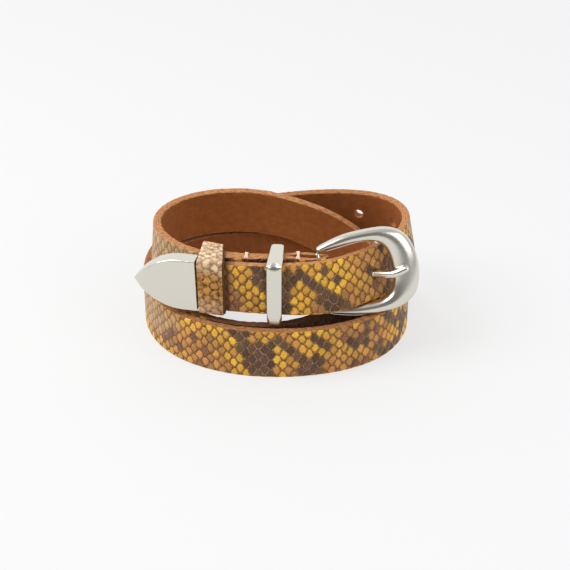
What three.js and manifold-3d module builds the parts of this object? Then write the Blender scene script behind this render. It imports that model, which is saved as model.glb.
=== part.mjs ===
// Snake print belt, buckled and wound into a standing coil of three turns.
// Millimetres, +Z up. The buckle faces -Y, and the coil stands on the strap's lower edge.
import * as THREE from "three";
import { mergeVertices } from "three/addons/utils/BufferGeometryUtils.js";
import Module from "manifold-3d";

const wasm = await Module();
wasm.setup();

// Driving sizes
const GAP = 0.3;
const STRAP = { width: 19.5, thick: 3.0, backedThick: 2.8, chamfer: 0.35 };
const FOLD = { width: 18.2, thick: 2.4, gap: GAP, arcStep: 30 };
const BAR = { x: 13.7, y: -17.9, z: 32.0, radius: 1.5, length: 21.2 };
const BUCKLE_TURN = { yaw: 5.5, rise: 10.2, lean: 17 };
const HOLE = { diameter: 3.8, pitch: 17.0, beforeTongue: 4 };
const TIP = {
  length: 23.9,
  ogive: 19,
  power: 2.25,
  half: 10.7,
  thick: 5.4,
  pointThick: 2.4,
  thinning: 5,
  bluntness: 0.25,
  bevel: 0.5,
  edge: 0.6,
  solid: 13.4,
};
const METAL_KEEPER = {
  wide: 5.5,
  wall: 1.5,
  across: 14.3,
  tall: 21.6,
  lowerEnd: 3.2,
  upperEnd: 1.0,
  endFullness: 0.9,
  backShare: 0.8,
};
const LEATHER_KEEPER = { wide: 8.8, wall: 1.3, overTip: 0.75, round: 1.6 };
const TONGUE = { loopRadius: 3.0, loopWide: 3.0, clear: 0.35, crossing: { along: 19.7, up: -1.5, front: -2.0 } };
const FRAME = { back: 1.2, rimStart: 0.9, backInset: 0.06, domeSides: 6, fullness: 0.8 };

// How finely the curved pieces are cut, in millimetres or in steps between two stations.
const STEP = {
  strap: 3.4,
  tip: 1.3,
  foldsPerStation: 4,
  framesPerStation: 3,
  tonguesPerStation: 4,
  keeperShare: 0.25,
  lengthsPerSpan: 16,
};

// How many flat sides stand for each round piece, and how many for each rounded end or corner.
const SIDES = { bore: 24, tongue: 14, leatherCorner: 3, keeperLowerEnd: 6, keeperUpperEnd: 3 };

// The share of the strap's length past which only its free end lies.
const TAIL_SHARE = 0.7;

// The coil's middle in plan, which the strap leans towards.
const COIL_MIDDLE = new THREE.Vector2(-3, 8);

function table(columns, rows) {
  const names = columns.split(" ");
  return rows.map((row) => Object.fromEntries(names.map((name, i) => [name, row[i]])));
}

// Stations of the strap's middle line. x, y: plan at mid height. base: height of the lower edge.
// lean: degrees that the upper edge leans towards the coil's middle.
const STATION = "x y base lean";

const FOLD_BACK = table(STATION, [
  [-26.4, -13.0, 23.2, 0],
  [-20.3, -15.1, 23.2, 0],
  [-14.0, -15.9, 23.2, 0],
  [-7.5, -16.3, 23.2, 1],
  [-1.0, -16.3, 23.0, 2],
  [6.5, -14.8, 22.6, 14],
]);

const AFTER_FOLD = table(STATION, [[7.2, -20.2, 22.8, 13]]);

const UPPER_TURN = table(STATION, [
  [0.0, -19.2, 23.2, 4],
  [-8.0, -19.3, 23.2, 1],
  [-16.0, -18.9, 23.2, 0],
  [-24.0, -17.6, 23.2, 0],
  [-32.0, -14.4, 23.0, 1],
  [-39.0, -8.8, 22.6, 2],
  [-45.2, -1.2, 22.2, 3],
  [-49.4, 8.2, 21.8, 4],
  [-50.4, 18.6, 21.4, 6],
  [-47.0, 28.9, 21.2, 8],
  [-39.4, 36.8, 21.2, 9],
  [-29.2, 41.2, 21.2, 9],
  [-18.0, 42.4, 21.2, 9],
  [-7.5, 41.0, 20.9, 9],
  [2.5, 37.8, 19.8, 9],
  [12.0, 36.0, 16.8, 8],
  [21.0, 35.2, 11.9, 8],
  [29.7, 32.7, 6.8, 7],
  [36.2, 27.2, 2.9, 6],
  [40.1, 18.0, 0.7, 5],
]);

const INNER_LOWER_TURN = table(STATION, [
  [41.0, 7.5, 0.2, 4],
  [38.6, -2.0, 0.1, 3],
  [32.6, -9.6, 0.1, 3],
  [23.8, -14.1, 0.1, 4],
  [13.2, -20.2, 0.1, 2],
  [2.5, -26.8, 0.0, 0],
  [-10.0, -28.0, 0.0, 0],
  [-22.5, -25.4, 0.0, 0],
  [-34.0, -18.8, 0.0, 0],
  [-43.4, -9.4, 0.0, 0],
  [-49.2, 2.4, 0.0, 0],
  [-51.0, 15.5, 0.0, 0],
  [-48.8, 27.8, 0.0, 0],
  [-41.4, 37.4, 0.0, 0],
  [-30.0, 43.2, 0.0, 0],
  [-16.5, 45.3, 0.0, 0],
  [-3.0, 44.9, 0.0, 0],
  [10.0, 42.8, 0.0, 0],
  [22.5, 40.4, 0.0, 0],
  [34.0, 36.6, 0.0, 0],
  [42.4, 28.6, 0.0, 0],
]);

const OUTER_LOWER_TURN = table(STATION, [
  [46.6, 17.5, 0.0, 0],
  [47.1, 5.5, 0.0, 0],
  [44.0, -6.0, 0.0, 0],
  [38.4, -15.9, 0.0, 0],
  [30.1, -23.4, 0.0, 0],
  [19.5, -28.5, 0.0, 0],
  [8.0, -31.4, 0.0, 0],
  [-4.0, -32.2, 0.0, 0],
  [-16.0, -30.9, 0.0, 0],
  [-27.5, -27.1, 0.0, 0],
  [-38.0, -20.8, 0.0, 0],
  [-46.6, -11.6, 0.0, 0],
  [-52.2, 0.2, 0.0, 0],
  [-54.4, 13.8, 0.4, 0],
]);

const RISING_TAIL = table(STATION, [
  [-53.4, 27.4, 2.0, 1],
  [-47.2, 38.7, 4.5, 3],
  [-36.6, 46.0, 7.5, 4],
  [-23.6, 49.5, 10.8, 5],
  [-10.0, 50.0, 13.8, 7],
  [3.0, 48.6, 16.5, 8],
  [15.0, 45.7, 18.9, 9],
  [27.0, 42.2, 20.7, 9],
  [37.4, 38.4, 21.3, 10],
  [45.0, 31.6, 21.5, 10],
  [48.4, 22.2, 21.9, 10],
  [48.2, 12.2, 22.3, 11],
  [45.6, 3.4, 22.7, 13],
  [41.1, -5.0, 23.1, 15],
  [35.1, -11.7, 23.7, 14],
  [28.1, -17.2, 23.8, 14],
  [20.0, -22.65, 23.5, 17],
  [11.5, -25.4, 23.5, 15],
  [2.5, -25.9, 23.4, 7],
  [-7.0, -25.4, 23.3, 2],
  [-16.5, -24.3, 23.3, 0],
  [-26.0, -22.7, 23.3, -3],
  [-35.5, -20.5, 23.3, -5],
  [-45.2, -18.1, 23.3, -5],
  [-54.9, -15.7, 23.3, -5],
]);

// The upper half of the buckle frame, from the bar's end round to the middle of the rim.
// along and out: place in the buckle's own plane from the bar's middle. rise: height of the domed front.
const FRAME_HALF = table("innerAlong innerOut outerAlong outerOut rise", [
  [0.2, 10.3, -0.5, 12.4, 2.6],
  [2.8, 10.5, 1.8, 13.4, 2.9],
  [6.8, 10.8, 6.1, 14.6, 3.1],
  [10.8, 11.2, 10.6, 15.6, 3.3],
  [14.8, 11.5, 15.0, 15.8, 3.4],
  [18.8, 11.4, 19.6, 15.8, 3.5],
  [21.7, 10.6, 24.4, 15.7, 3.6],
  [23.8, 9.0, 28.8, 14.5, 3.7],
  [25.0, 6.9, 32.2, 12.2, 3.8],
  [25.6, 4.7, 34.3, 8.7, 3.8],
  [25.9, 2.3, 35.4, 4.5, 3.8],
]);
const FRAME_RIM = { innerAlong: 26.0, innerOut: 0, outerAlong: 35.8, outerOut: 0, rise: 3.8 };

// The rigid keeper's middle, and how it is turned.
const METAL_KEEPER_PLACE = { x: -3.3, y: -20.9, z: 32.35, yaw: -4.2, lean: 1 };
const METAL_KEEPER_CORNERS = table("round steps", [
  [1.2, 2],
  [1.7, 2],
  [0.9, 2],
  [1.2, 2],
]);

// Where the strap runs into the sewn keeper, on the layer behind the tail.
const BACK_OF_KEEPER = new THREE.Vector3(-24.0, -17.4, 33.0);

// The tongue's middle line in the buckle's own plane. up: distance along the bar from its middle.
// front: distance in front of the bar's axis.
const TONGUE_LINE = table("along up front radius", [
  [0.0, -1.2, 2.3, 1.0],
  [2.8, -1.3, 1.2, 1.2],
  [7.8, -1.4, -0.9, 1.35],
  [12.8, -1.5, -2.9, 1.45],
  [17.3, -1.5, -3.0, 1.5],
  [20.8, -1.5, -1.2, 1.5],
  [23.8, -1.4, 1.4, 1.5],
  [26.8, -0.9, 3.6, 1.4],
  [30.4, -0.1, 4.3, 1.0],
]);

// Axes of the buckle: along runs from the bar to the rim, up runs along the bar, front faces the viewer.
function buckleAxes() {
  const yaw = THREE.MathUtils.degToRad(BUCKLE_TURN.yaw);
  const rise = THREE.MathUtils.degToRad(BUCKLE_TURN.rise);
  const lean = THREE.MathUtils.degToRad(BUCKLE_TURN.lean);
  const along = new THREE.Vector3(
    Math.cos(yaw) * Math.cos(rise),
    Math.sin(yaw) * Math.cos(rise),
    Math.sin(rise),
  );
  const up = new THREE.Vector3(0, Math.sin(lean), Math.cos(lean));
  up.addScaledVector(along, -up.dot(along)).normalize();
  const front = new THREE.Vector3().crossVectors(up, along).multiplyScalar(-1);
  return { origin: new THREE.Vector3(BAR.x, BAR.y, BAR.z), along, up, front };
}

function placeOn({ origin, along, up, front }, a, u, f) {
  return origin.clone().addScaledVector(along, a).addScaledVector(up, u).addScaledVector(front, f);
}

// Uniform cubic B-spline through a list of control vectors of any length, with straight ends.
function bspline(controls, at, derivative = false) {
  const last = controls.length - 1;
  const mirrored = (end, next) => end.map((value, i) => 2 * value - next[i]);
  const i = Math.min(Math.floor(at), last - 1);
  const f = at - i;
  const pick = (k) => {
    if (k < 0) return mirrored(controls[0], controls[1]);
    if (k > last) return mirrored(controls[last], controls[last - 1]);
    return controls[k];
  };
  const weights = derivative
    ? [-((1 - f) ** 2) / 2, (3 * f * f - 4 * f) / 2, (1 + 2 * f - 3 * f * f) / 2, (f * f) / 2]
    : [
        (1 - f) ** 3 / 6,
        (3 * f ** 3 - 6 * f * f + 4) / 6,
        (1 + 3 * f + 3 * f * f - 3 * f ** 3) / 6,
        f ** 3 / 6,
      ];
  const points = [-1, 0, 1, 2].map((k) => pick(i + k));
  return controls[0].map((_, axis) => weights.reduce((sum, w, k) => sum + w * points[k][axis], 0));
}

function control(mid, up, thick, width) {
  return [mid.x, mid.y, mid.z, up.x, up.y, up.z, thick, width];
}

function stationControl(row, thick, width = STRAP.width) {
  const inward = COIL_MIDDLE.clone().sub(new THREE.Vector2(row.x, row.y)).normalize();
  const lean = THREE.MathUtils.degToRad(row.lean);
  const up = new THREE.Vector3(
    inward.x * Math.sin(lean),
    inward.y * Math.sin(lean),
    Math.cos(lean),
  );
  return control(new THREE.Vector3(row.x, row.y, row.base + STRAP.width / 2), up, thick, width);
}

// Half a turn round the buckle's bar, from the side away from the viewer to the near side.
function foldControls(axes) {
  const step = THREE.MathUtils.degToRad(FOLD.arcStep);
  const radius = BAR.radius + FOLD.gap + FOLD.thick / 2;
  const pulled = (radius * 3) / (2 + Math.cos(step));
  const steps = 180 / FOLD.arcStep;
  return Array.from({ length: steps + 1 }, (_, k) => {
    const angle = Math.PI / 2 - step * k;
    const mid = placeOn(axes, pulled * Math.cos(angle), 0, -pulled * Math.sin(angle));
    return control(mid, axes.up, FOLD.thick, FOLD.width);
  });
}

class StrapPath {
  constructor(axes) {
    this.controls = [
      ...FOLD_BACK.map((row) => stationControl(row, FOLD.thick, FOLD.width)),
      ...foldControls(axes),
      ...AFTER_FOLD.map((row) => stationControl(row, FOLD.thick, FOLD.width)),
      ...UPPER_TURN.map((row, i) => stationControl(row, i < 3 ? STRAP.backedThick : STRAP.thick)),
      ...[...INNER_LOWER_TURN, ...OUTER_LOWER_TURN, ...RISING_TAIL].map((row) =>
        stationControl(row, STRAP.thick),
      ),
    ];
    this.last = this.controls.length - 1;
    this.measure(STEP.lengthsPerSpan);
  }

  // Lengths along the middle line, at perSpan places between two control points.
  measure(perSpan) {
    this.lengths = [0];
    this.perSpan = perSpan;
    let before = this.frame(0).mid;
    for (let k = 1; k <= this.last * perSpan; k++) {
      const here = this.frame(k / perSpan).mid;
      this.lengths.push(this.lengths[k - 1] + here.distanceTo(before));
      before = here;
    }
    this.length = this.lengths[this.lengths.length - 1];
  }

  // Middle, direction, up and outward side of the strap at a place counted in control points.
  frame(at) {
    const [x, y, z, ux, uy, uz, thick, width] = bspline(this.controls, at);
    const [dx, dy, dz] = bspline(this.controls, at, true);
    const along = new THREE.Vector3(dx, dy, dz).normalize();
    const up = new THREE.Vector3(ux, uy, uz);
    up.addScaledVector(along, -up.dot(along)).normalize();
    const out = new THREE.Vector3().crossVectors(up, along);
    return { mid: new THREE.Vector3(x, y, z), along, up, out, thick, width };
  }

  // The same place from a length along the strap.
  placeAt(length) {
    let k = this.lengths.findIndex((value) => value >= length);
    if (k < 1) k = length <= 0 ? 1 : this.lengths.length - 1;
    const span = this.lengths[k] - this.lengths[k - 1];
    return (k - 1 + (length - this.lengths[k - 1]) / span) / this.perSpan;
  }

  lengthAt(at) {
    return this.lengths[Math.min(Math.round(at * this.perSpan), this.lengths.length - 1)];
  }

  frameAtLength(length) {
    return this.frame(this.placeAt(length));
  }

  // The length at which the middle line comes nearest to a point, searched from a given length on.
  nearest(point, from = 0) {
    let best = { distance: Infinity, length: 0 };
    this.lengths.forEach((length, k) => {
      const distance = this.frame(k / this.perSpan).mid.distanceTo(point);
      if (length >= from && distance < best.distance) best = { distance, length };
    });
    return best.length;
  }
}

function solidFrom(geometry) {
  const bare = geometry.index ? geometry.toNonIndexed() : geometry.clone();
  bare.deleteAttribute("normal");
  bare.deleteAttribute("uv");
  const merged = mergeVertices(bare, 1e-4);
  return new wasm.Manifold(
    new wasm.Mesh({
      numProp: 3,
      vertProperties: merged.attributes.position.array,
      triVerts: new Uint32Array(merged.index.array),
    }),
  );
}

function geometryFrom(solid) {
  const mesh = solid.getMesh();
  return new THREE.BufferGeometry()
    .setAttribute("position", new THREE.BufferAttribute(new Float32Array(mesh.vertProperties), 3))
    .setIndex(new THREE.BufferAttribute(new Uint32Array(mesh.triVerts), 1))
    .toNonIndexed();
}

// Closed solid through sections with the same number of points. Convex ends are closed as fans.
function loft(sections) {
  const sides = sections[0].length;
  const points = sections.flat();
  const faces = [];
  for (let i = 0; i + 1 < sections.length; i++)
    for (let k = 0; k < sides; k++) {
      const a = i * sides + k;
      const b = i * sides + ((k + 1) % sides);
      faces.push(a, b, b + sides, a, b + sides, a + sides);
    }
  const end = (sections.length - 1) * sides;
  for (let k = 1; k + 1 < sides; k++) {
    faces.push(0, k + 1, k);
    faces.push(end, end + k, end + k + 1);
  }
  return solidFrom(new THREE.BufferGeometry().setFromPoints(points).setIndex(faces));
}

function lengthsBetween(from, to, step) {
  const count = Math.max(1, Math.ceil((to - from) / step));
  return Array.from({ length: count + 1 }, (_, k) => from + ((to - from) * k) / count);
}

// Rectangle with chamfered edges across the strap, run so that a loft along it faces outwards.
function bandSection({ mid, up, out }, halfWidth, halfThick, chamfer) {
  const corner = (u, o) => mid.clone().addScaledVector(up, u).addScaledVector(out, o);
  const [w, t, c] = [halfWidth, halfThick, Math.min(chamfer, halfWidth / 2, halfThick / 2)];
  return [
    corner(-w + c, t),
    corner(w - c, t),
    corner(w, t - c),
    corner(w, -t + c),
    corner(w - c, -t),
    corner(-w + c, -t),
    corner(-w, -t + c),
    corner(-w, t - c),
  ];
}

// Half height of the pointed tip at a distance from its point.
function tipHalf(distance) {
  const rest = Math.max(0, 1 - distance / TIP.ogive);
  return TIP.half * (1 - rest ** TIP.power);
}

function rod(from, to, radius) {
  const length = from.distanceTo(to);
  const geometry = new THREE.CylinderGeometry(radius, radius, length, SIDES.bore);
  const direction = to.clone().sub(from).normalize();
  geometry.applyQuaternion(
    new THREE.Quaternion().setFromUnitVectors(new THREE.Vector3(0, 1, 0), direction),
  );
  const middle = from.clone().add(to).multiplyScalar(0.5);
  geometry.translate(middle.x, middle.y, middle.z);
  return solidFrom(geometry);
}

function strapSolid(path, axes) {
  const foldEnd = FOLD_BACK.length + 180 / FOLD.arcStep;
  const folded = Array.from({ length: foldEnd * STEP.foldsPerStation }, (_, k) => k / STEP.foldsPerStation);
  const turned = lengthsBetween(path.lengthAt(foldEnd), path.length - TIP.solid, STEP.strap);
  const sections = [...folded, ...turned.map((length) => path.placeAt(length))].map((at) => {
    const frame = path.frame(at);
    const insideTip = tipHalf(path.length - path.lengthAt(at)) - TIP.edge - GAP;
    return bandSection(frame, Math.min(frame.width / 2, insideTip), frame.thick / 2, STRAP.chamfer);
  });
  let strap = loft(sections);
  for (const centre of holeLengths(path, axes).slice(1)) {
    const { mid, out } = path.frameAtLength(centre);
    const reach = out.clone().multiplyScalar(STRAP.thick);
    const punch = rod(mid.clone().sub(reach), mid.clone().add(reach), HOLE.diameter / 2);
    strap = strap.subtract(punch);
  }
  const slotRadius = BAR.radius + FOLD.gap + FOLD.thick + GAP;
  return strap
    .subtract(tongueShaft(axes, TONGUE.clear))
    .subtract(tongueCollar(axes, TONGUE.loopWide / 2 + TONGUE.clear, slotRadius));
}

// Lengths of the punched holes, from the one that the tongue is in to the free ones.
function holeLengths(path, axes) {
  const { along, up, front } = TONGUE.crossing;
  const first = path.nearest(placeOn(axes, along, up, front), path.length * TAIL_SHARE);
  return Array.from({ length: HOLE.beforeTongue + 1 }, (_, k) => first - k * HOLE.pitch);
}

function tipSolid(path) {
  const halfThickAt = (distance) => {
    const share = Math.min(1, distance / TIP.thinning);
    return THREE.MathUtils.lerp(TIP.pointThick, TIP.thick, share) / 2;
  };
  const start = path.length - TIP.length;
  const outside = lengthsBetween(start, path.length - TIP.bluntness, STEP.tip).map((length) => {
    const distance = path.length - length;
    return bandSection(path.frameAtLength(length), tipHalf(distance), halfThickAt(distance), TIP.bevel);
  });
  const inside = lengthsBetween(start - 1, path.length - TIP.solid + GAP, STEP.tip).map((length) => {
    const half = Math.min(tipHalf(path.length - length) - TIP.edge, STRAP.width / 2 + GAP);
    return bandSection(path.frameAtLength(length), half, STRAP.thick / 2 + GAP, STRAP.chamfer);
  });
  return loft(outside).subtract(loft(inside));
}

// Points of a loop round the strap, anticlockwise about the strap's direction. Its front follows one
// place and its back another. A corner with one step is a bevel, one with more steps is rounded.
function loopSection(front, back, { ahead, behind, half }, corners) {
  const centres = [
    { place: front, out: ahead, up: -half, outward: 1, upward: -1, from: -90 },
    { place: front, out: ahead, up: half, outward: 1, upward: 1, from: 0 },
    { place: back, out: -behind, up: half, outward: -1, upward: 1, from: 90 },
    { place: back, out: -behind, up: -half, outward: -1, upward: -1, from: 180 },
  ];
  return centres.flatMap(({ place, out, up, outward, upward, from }, n) => {
    const { round, steps } = corners[n];
    return Array.from({ length: steps + 1 }, (_, k) => {
      const angle = THREE.MathUtils.degToRad(from + (90 * k) / steps);
      return place.mid
        .clone()
        .addScaledVector(place.out, out - outward * round + round * Math.cos(angle))
        .addScaledVector(place.up, up - upward * round + round * Math.sin(angle));
    });
  });
}

function grown({ ahead, behind, half }, wall) {
  return { ahead: ahead + wall, behind: behind + wall, half: half + wall };
}

// The sewn keeper hugs the tail in front, and the strap with its folded end behind.
function leatherKeeperSolid(path) {
  const frontStart = path.length - TIP.length - LEATHER_KEEPER.overTip - LEATHER_KEEPER.wide;
  const backStart = path.nearest(BACK_OF_KEEPER);
  const hollow = {
    ahead: STRAP.thick / 2 + GAP,
    behind: STRAP.thick / 2 + FOLD.thick + 3 * GAP,
    half: STRAP.width / 2 + 1.5 * GAP,
  };
  const section = (size, round, steps) => (share) => {
    const front = path.frameAtLength(frontStart + share * LEATHER_KEEPER.wide);
    const back = path.frameAtLength(backStart + share * LEATHER_KEEPER.wide);
    return loopSection(front, back, size, Array(4).fill({ round, steps }));
  };
  const step = STEP.keeperShare;
  const outer = lengthsBetween(0, 1, step);
  const inner = lengthsBetween(-step, 1 + step, step);
  const outline = section(grown(hollow, LEATHER_KEEPER.wall), LEATHER_KEEPER.round, SIDES.leatherCorner);
  const outside = loft(outer.map(outline));
  return outside.subtract(loft(inner.map(section(hollow, GAP, 1))));
}

// Half width of the cast keeper at a height over its middle: its two ends are round.
function keeperHalf(height) {
  const { wide, wall, tall, lowerEnd, upperEnd, endFullness } = METAL_KEEPER;
  const reach = tall / 2 + wall;
  const missing = Math.max(0, 1 - (reach + height) / lowerEnd, 1 - (reach - height) / upperEnd);
  return (wide / 2) * Math.sqrt(1 - endFullness * missing ** 2);
}

// Outline of the cast keeper seen from the front, as a share of its full width, at a depth.
function keeperOutline(place, depth, share) {
  const { wall, tall, lowerEnd, upperEnd } = METAL_KEEPER;
  const reach = tall / 2 + wall;
  const heights = [
    ...lengthsBetween(-reach, lowerEnd - reach, lowerEnd / SIDES.keeperLowerEnd),
    ...lengthsBetween(reach - upperEnd, reach, upperEnd / SIDES.keeperUpperEnd),
  ];
  const corner = (height, side) => {
    const { mid, up, out } = place(side * share * keeperHalf(height));
    return mid.addScaledVector(up, height).addScaledVector(out, depth);
  };
  const rightSide = [...heights].reverse().map((height) => corner(height, 1));
  return [...rightSide, ...heights.map((height) => corner(height, -1))];
}

// The cast keeper is a rigid loop, narrower behind than in front.
function metalKeeperSolid() {
  const yaw = THREE.MathUtils.degToRad(METAL_KEEPER_PLACE.yaw);
  const lean = THREE.MathUtils.degToRad(METAL_KEEPER_PLACE.lean);
  const along = new THREE.Vector3(-Math.cos(yaw), -Math.sin(yaw), 0);
  const level = new THREE.Vector3(Math.sin(yaw), -Math.cos(yaw), 0);
  const up = new THREE.Vector3(0, 0, Math.cos(lean)).addScaledVector(level, -Math.sin(lean));
  const out = new THREE.Vector3().crossVectors(up, along);
  const { x, y, z } = METAL_KEEPER_PLACE;
  const place = (shift) => ({ mid: new THREE.Vector3(x, y, z).addScaledVector(along, shift), up, out });
  const { wide, across, tall, wall, backShare } = METAL_KEEPER;
  const ring = (size, reach, corners) =>
    loft([-reach, reach].map((shift) => loopSection(place(shift), place(shift), size, corners)));
  const hollow = { ahead: across / 2, behind: across / 2, half: tall / 2 };
  const narrowing = loft([
    keeperOutline(place, -across, backShare),
    keeperOutline(place, across, 2 - backShare),
  ]);
  return ring(grown(hollow, wall), wide / 2, METAL_KEEPER_CORNERS)
    .intersect(narrowing)
    .subtract(ring(hollow, wide, Array(4).fill({ round: GAP, steps: 1 })));
}

// One cut through the frame: flat behind, rounded in front.
function frameSection(axes, [innerAlong, innerOut, outerAlong, outerOut, rise]) {
  const inner = new THREE.Vector2(innerAlong, innerOut);
  const outer = new THREE.Vector2(outerAlong, outerOut);
  const at = (share, front) => {
    const p = inner.clone().lerp(outer, share);
    return placeOn(axes, p.x, p.y, front - FRAME.back);
  };
  const dome = Array.from({ length: FRAME.domeSides + 1 }, (_, k) => {
    const angle = (Math.PI * k) / FRAME.domeSides;
    const swell = (rise - FRAME.rimStart) * Math.sin(angle) ** FRAME.fullness;
    return at((1 + Math.cos(angle)) / 2, FRAME.rimStart + swell);
  });
  return [at(1 - FRAME.backInset, 0), ...dome, at(FRAME.backInset, 0)];
}

function frameSolid(axes) {
  const controls = [
    ...FRAME_HALF.map((row) => ({ ...row, side: 1 })),
    { ...FRAME_RIM, side: 0 },
    ...[...FRAME_HALF].reverse().map((row) => ({ ...row, side: -1 })),
  ].map((row) => [
    row.innerAlong, row.innerOut * row.side, row.outerAlong, row.outerOut * row.side, row.rise,
  ]);
  const count = (controls.length - 1) * STEP.framesPerStation;
  const ring = loft(
    Array.from({ length: count + 1 }, (_, k) =>
      frameSection(axes, bspline(controls, k / STEP.framesPerStation)),
    ),
  );
  return ring.add(barCollar(axes, BAR.length / 2, BAR.radius));
}

function tongueShaft(axes, grow = 0) {
  const controls = TONGUE_LINE.map((row) => [row.along, row.front, row.radius, row.up]);
  const count = (controls.length - 1) * STEP.tonguesPerStation;
  const sections = Array.from({ length: count + 1 }, (_, k) => {
    const at = k / STEP.tonguesPerStation;
    const [along, front, radius, up] = bspline(controls, at);
    const [da, df] = bspline(controls, at, true);
    const normal = new THREE.Vector2(-df, da).normalize();
    return Array.from({ length: SIDES.tongue }, (_, n) => {
      const angle = (2 * Math.PI * n) / SIDES.tongue;
      const lift = (radius + grow) * Math.cos(angle);
      const side = -(radius + grow) * Math.sin(angle);
      return placeOn(axes, along + normal.x * lift, up + side, front + normal.y * lift);
    });
  });
  return loft(sections);
}

// A short cylinder about the buckle's bar, with its middle at a height on the bar.
function barCollar(axes, half, radius, up = 0) {
  return rod(placeOn(axes, 0, up - half, 0), placeOn(axes, 0, up + half, 0), radius);
}

function tongueCollar(axes, half, radius) {
  return barCollar(axes, half, radius, TONGUE_LINE[0].up);
}

function tongueSolid(axes) {
  const loop = tongueCollar(axes, TONGUE.loopWide / 2, TONGUE.loopRadius);
  const hollow = tongueCollar(axes, TONGUE.loopWide, BAR.radius + FOLD.gap);
  return loop.add(tongueShaft(axes)).subtract(hollow);
}

function piece(name, solid, colour, roughness, metalness) {
  const material = new THREE.MeshStandardMaterial({ color: colour, roughness, metalness });
  const mesh = new THREE.Mesh(geometryFrom(solid), material);
  mesh.geometry.computeVertexNormals();
  mesh.name = name;
  return mesh;
}

// Puts the origin under the middle of the belt's box, on the plane that it stands on.
function standOnOrigin(group) {
  const box = new THREE.Box3().setFromObject(group);
  const middle = box.getCenter(new THREE.Vector3());
  group.position.set(-middle.x, -middle.y, -box.min.z);
  return group;
}

function belt() {
  const axes = buckleAxes();
  const path = new StrapPath(axes);
  const group = new THREE.Group();
  const nickel = [0xcdcbbf, 0.35, 1.0];
  group.add(piece("strap", strapSolid(path, axes), 0xb5852f, 0.6, 0));
  group.add(piece("buckle_frame", frameSolid(axes), ...nickel));
  group.add(piece("buckle_tongue", tongueSolid(axes), ...nickel));
  group.add(piece("metal_keeper", metalKeeperSolid(), ...nickel));
  group.add(piece("leather_keeper", leatherKeeperSolid(path), 0xb59a72, 0.6, 0));
  group.add(piece("metal_tip", tipSolid(path), ...nickel));
  return standOnOrigin(group);
}

export default belt();
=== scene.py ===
"""Looks of a snake print belt, buckled and wound into a standing coil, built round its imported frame."""

from __future__ import annotations

import logging
import math
from dataclasses import dataclass, field
from enum import Enum
from typing import Any, ClassVar, NamedTuple, Sequence

import bpy
import numpy as np
from mathutils import Matrix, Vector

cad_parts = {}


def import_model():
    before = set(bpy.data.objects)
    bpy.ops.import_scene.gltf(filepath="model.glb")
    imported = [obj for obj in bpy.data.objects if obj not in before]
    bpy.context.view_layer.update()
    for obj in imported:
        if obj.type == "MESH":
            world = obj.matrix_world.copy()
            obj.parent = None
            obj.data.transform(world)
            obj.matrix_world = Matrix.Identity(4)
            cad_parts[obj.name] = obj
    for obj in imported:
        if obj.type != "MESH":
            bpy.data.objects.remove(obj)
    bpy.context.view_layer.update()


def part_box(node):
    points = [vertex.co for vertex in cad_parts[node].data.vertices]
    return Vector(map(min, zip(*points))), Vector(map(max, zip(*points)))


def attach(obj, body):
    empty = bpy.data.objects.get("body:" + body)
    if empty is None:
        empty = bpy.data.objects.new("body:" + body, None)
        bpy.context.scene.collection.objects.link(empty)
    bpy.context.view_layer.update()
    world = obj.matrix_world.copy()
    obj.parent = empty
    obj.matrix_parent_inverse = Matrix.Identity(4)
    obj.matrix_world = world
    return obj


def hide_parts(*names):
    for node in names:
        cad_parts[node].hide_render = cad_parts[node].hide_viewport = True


LOG = logging.getLogger("belt")
MM = 0.001

# Room left between pieces that lie on each other, in millimetres.
GAP = 0.3

# Numbers that turn a cell's place and a seed into its random value.
HASH_X, HASH_Y, HASH_SEED, HASH_SPREAD = 127.1, 311.7, 74.7, 43758.5453

# Settings that many nodes share: a range with eased ends, and a mix of two colours.
EASED = {"interpolation_type": "SMOOTHSTEP"}
BLEND = {"out": 2, "data_type": "RGBA"}


class Station(NamedTuple):
    """One station of the strap's middle line, in millimetres and degrees.

    x, y: place in plan at mid height. base: height of the lower edge. lean: how far the upper
    edge leans towards the coil's middle.
    """

    x: float
    y: float
    base: float
    lean: float


def stations(*rows: tuple[float, float, float, float]) -> list[Station]:
    """Rows of numbers as stations."""
    return [Station(*row) for row in rows]


# The folded end behind the buckle, and the first station past the bend round the bar.
FOLD_BACK = stations(
    (-26.4, -13.0, 23.2, 0),
    (-20.3, -15.1, 23.2, 0),
    (-14.0, -15.9, 23.2, 0),
    (-7.5, -16.3, 23.2, 1),
    (-1.0, -16.3, 23.0, 2),
    (6.5, -14.8, 22.6, 14),
)
AFTER_FOLD = stations((7.2, -20.2, 22.8, 13))

# Share of the strap's length that covers the fold, left out where a layer past it is meant.
PAST_FOLD = 0.06

# The three turns in their order along the strap, and the tail that rises to the buckle.
UPPER_TURN = stations(
    (0.0, -19.2, 23.2, 4),
    (-8.0, -19.3, 23.2, 1),
    (-16.0, -18.9, 23.2, 0),
    (-24.0, -17.6, 23.2, 0),
    (-32.0, -14.4, 23.0, 1),
    (-39.0, -8.8, 22.6, 2),
    (-45.2, -1.2, 22.2, 3),
    (-49.4, 8.2, 21.8, 4),
    (-50.4, 18.6, 21.4, 6),
    (-47.0, 28.9, 21.2, 8),
    (-39.4, 36.8, 21.2, 9),
    (-29.2, 41.2, 21.2, 9),
    (-18.0, 42.4, 21.2, 9),
    (-7.5, 41.0, 20.9, 9),
    (2.5, 37.8, 19.8, 9),
    (12.0, 36.0, 16.8, 8),
    (21.0, 35.2, 11.9, 8),
    (29.7, 32.7, 6.8, 7),
    (36.2, 27.2, 2.9, 6),
    (40.1, 18.0, 0.7, 5),
)
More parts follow.
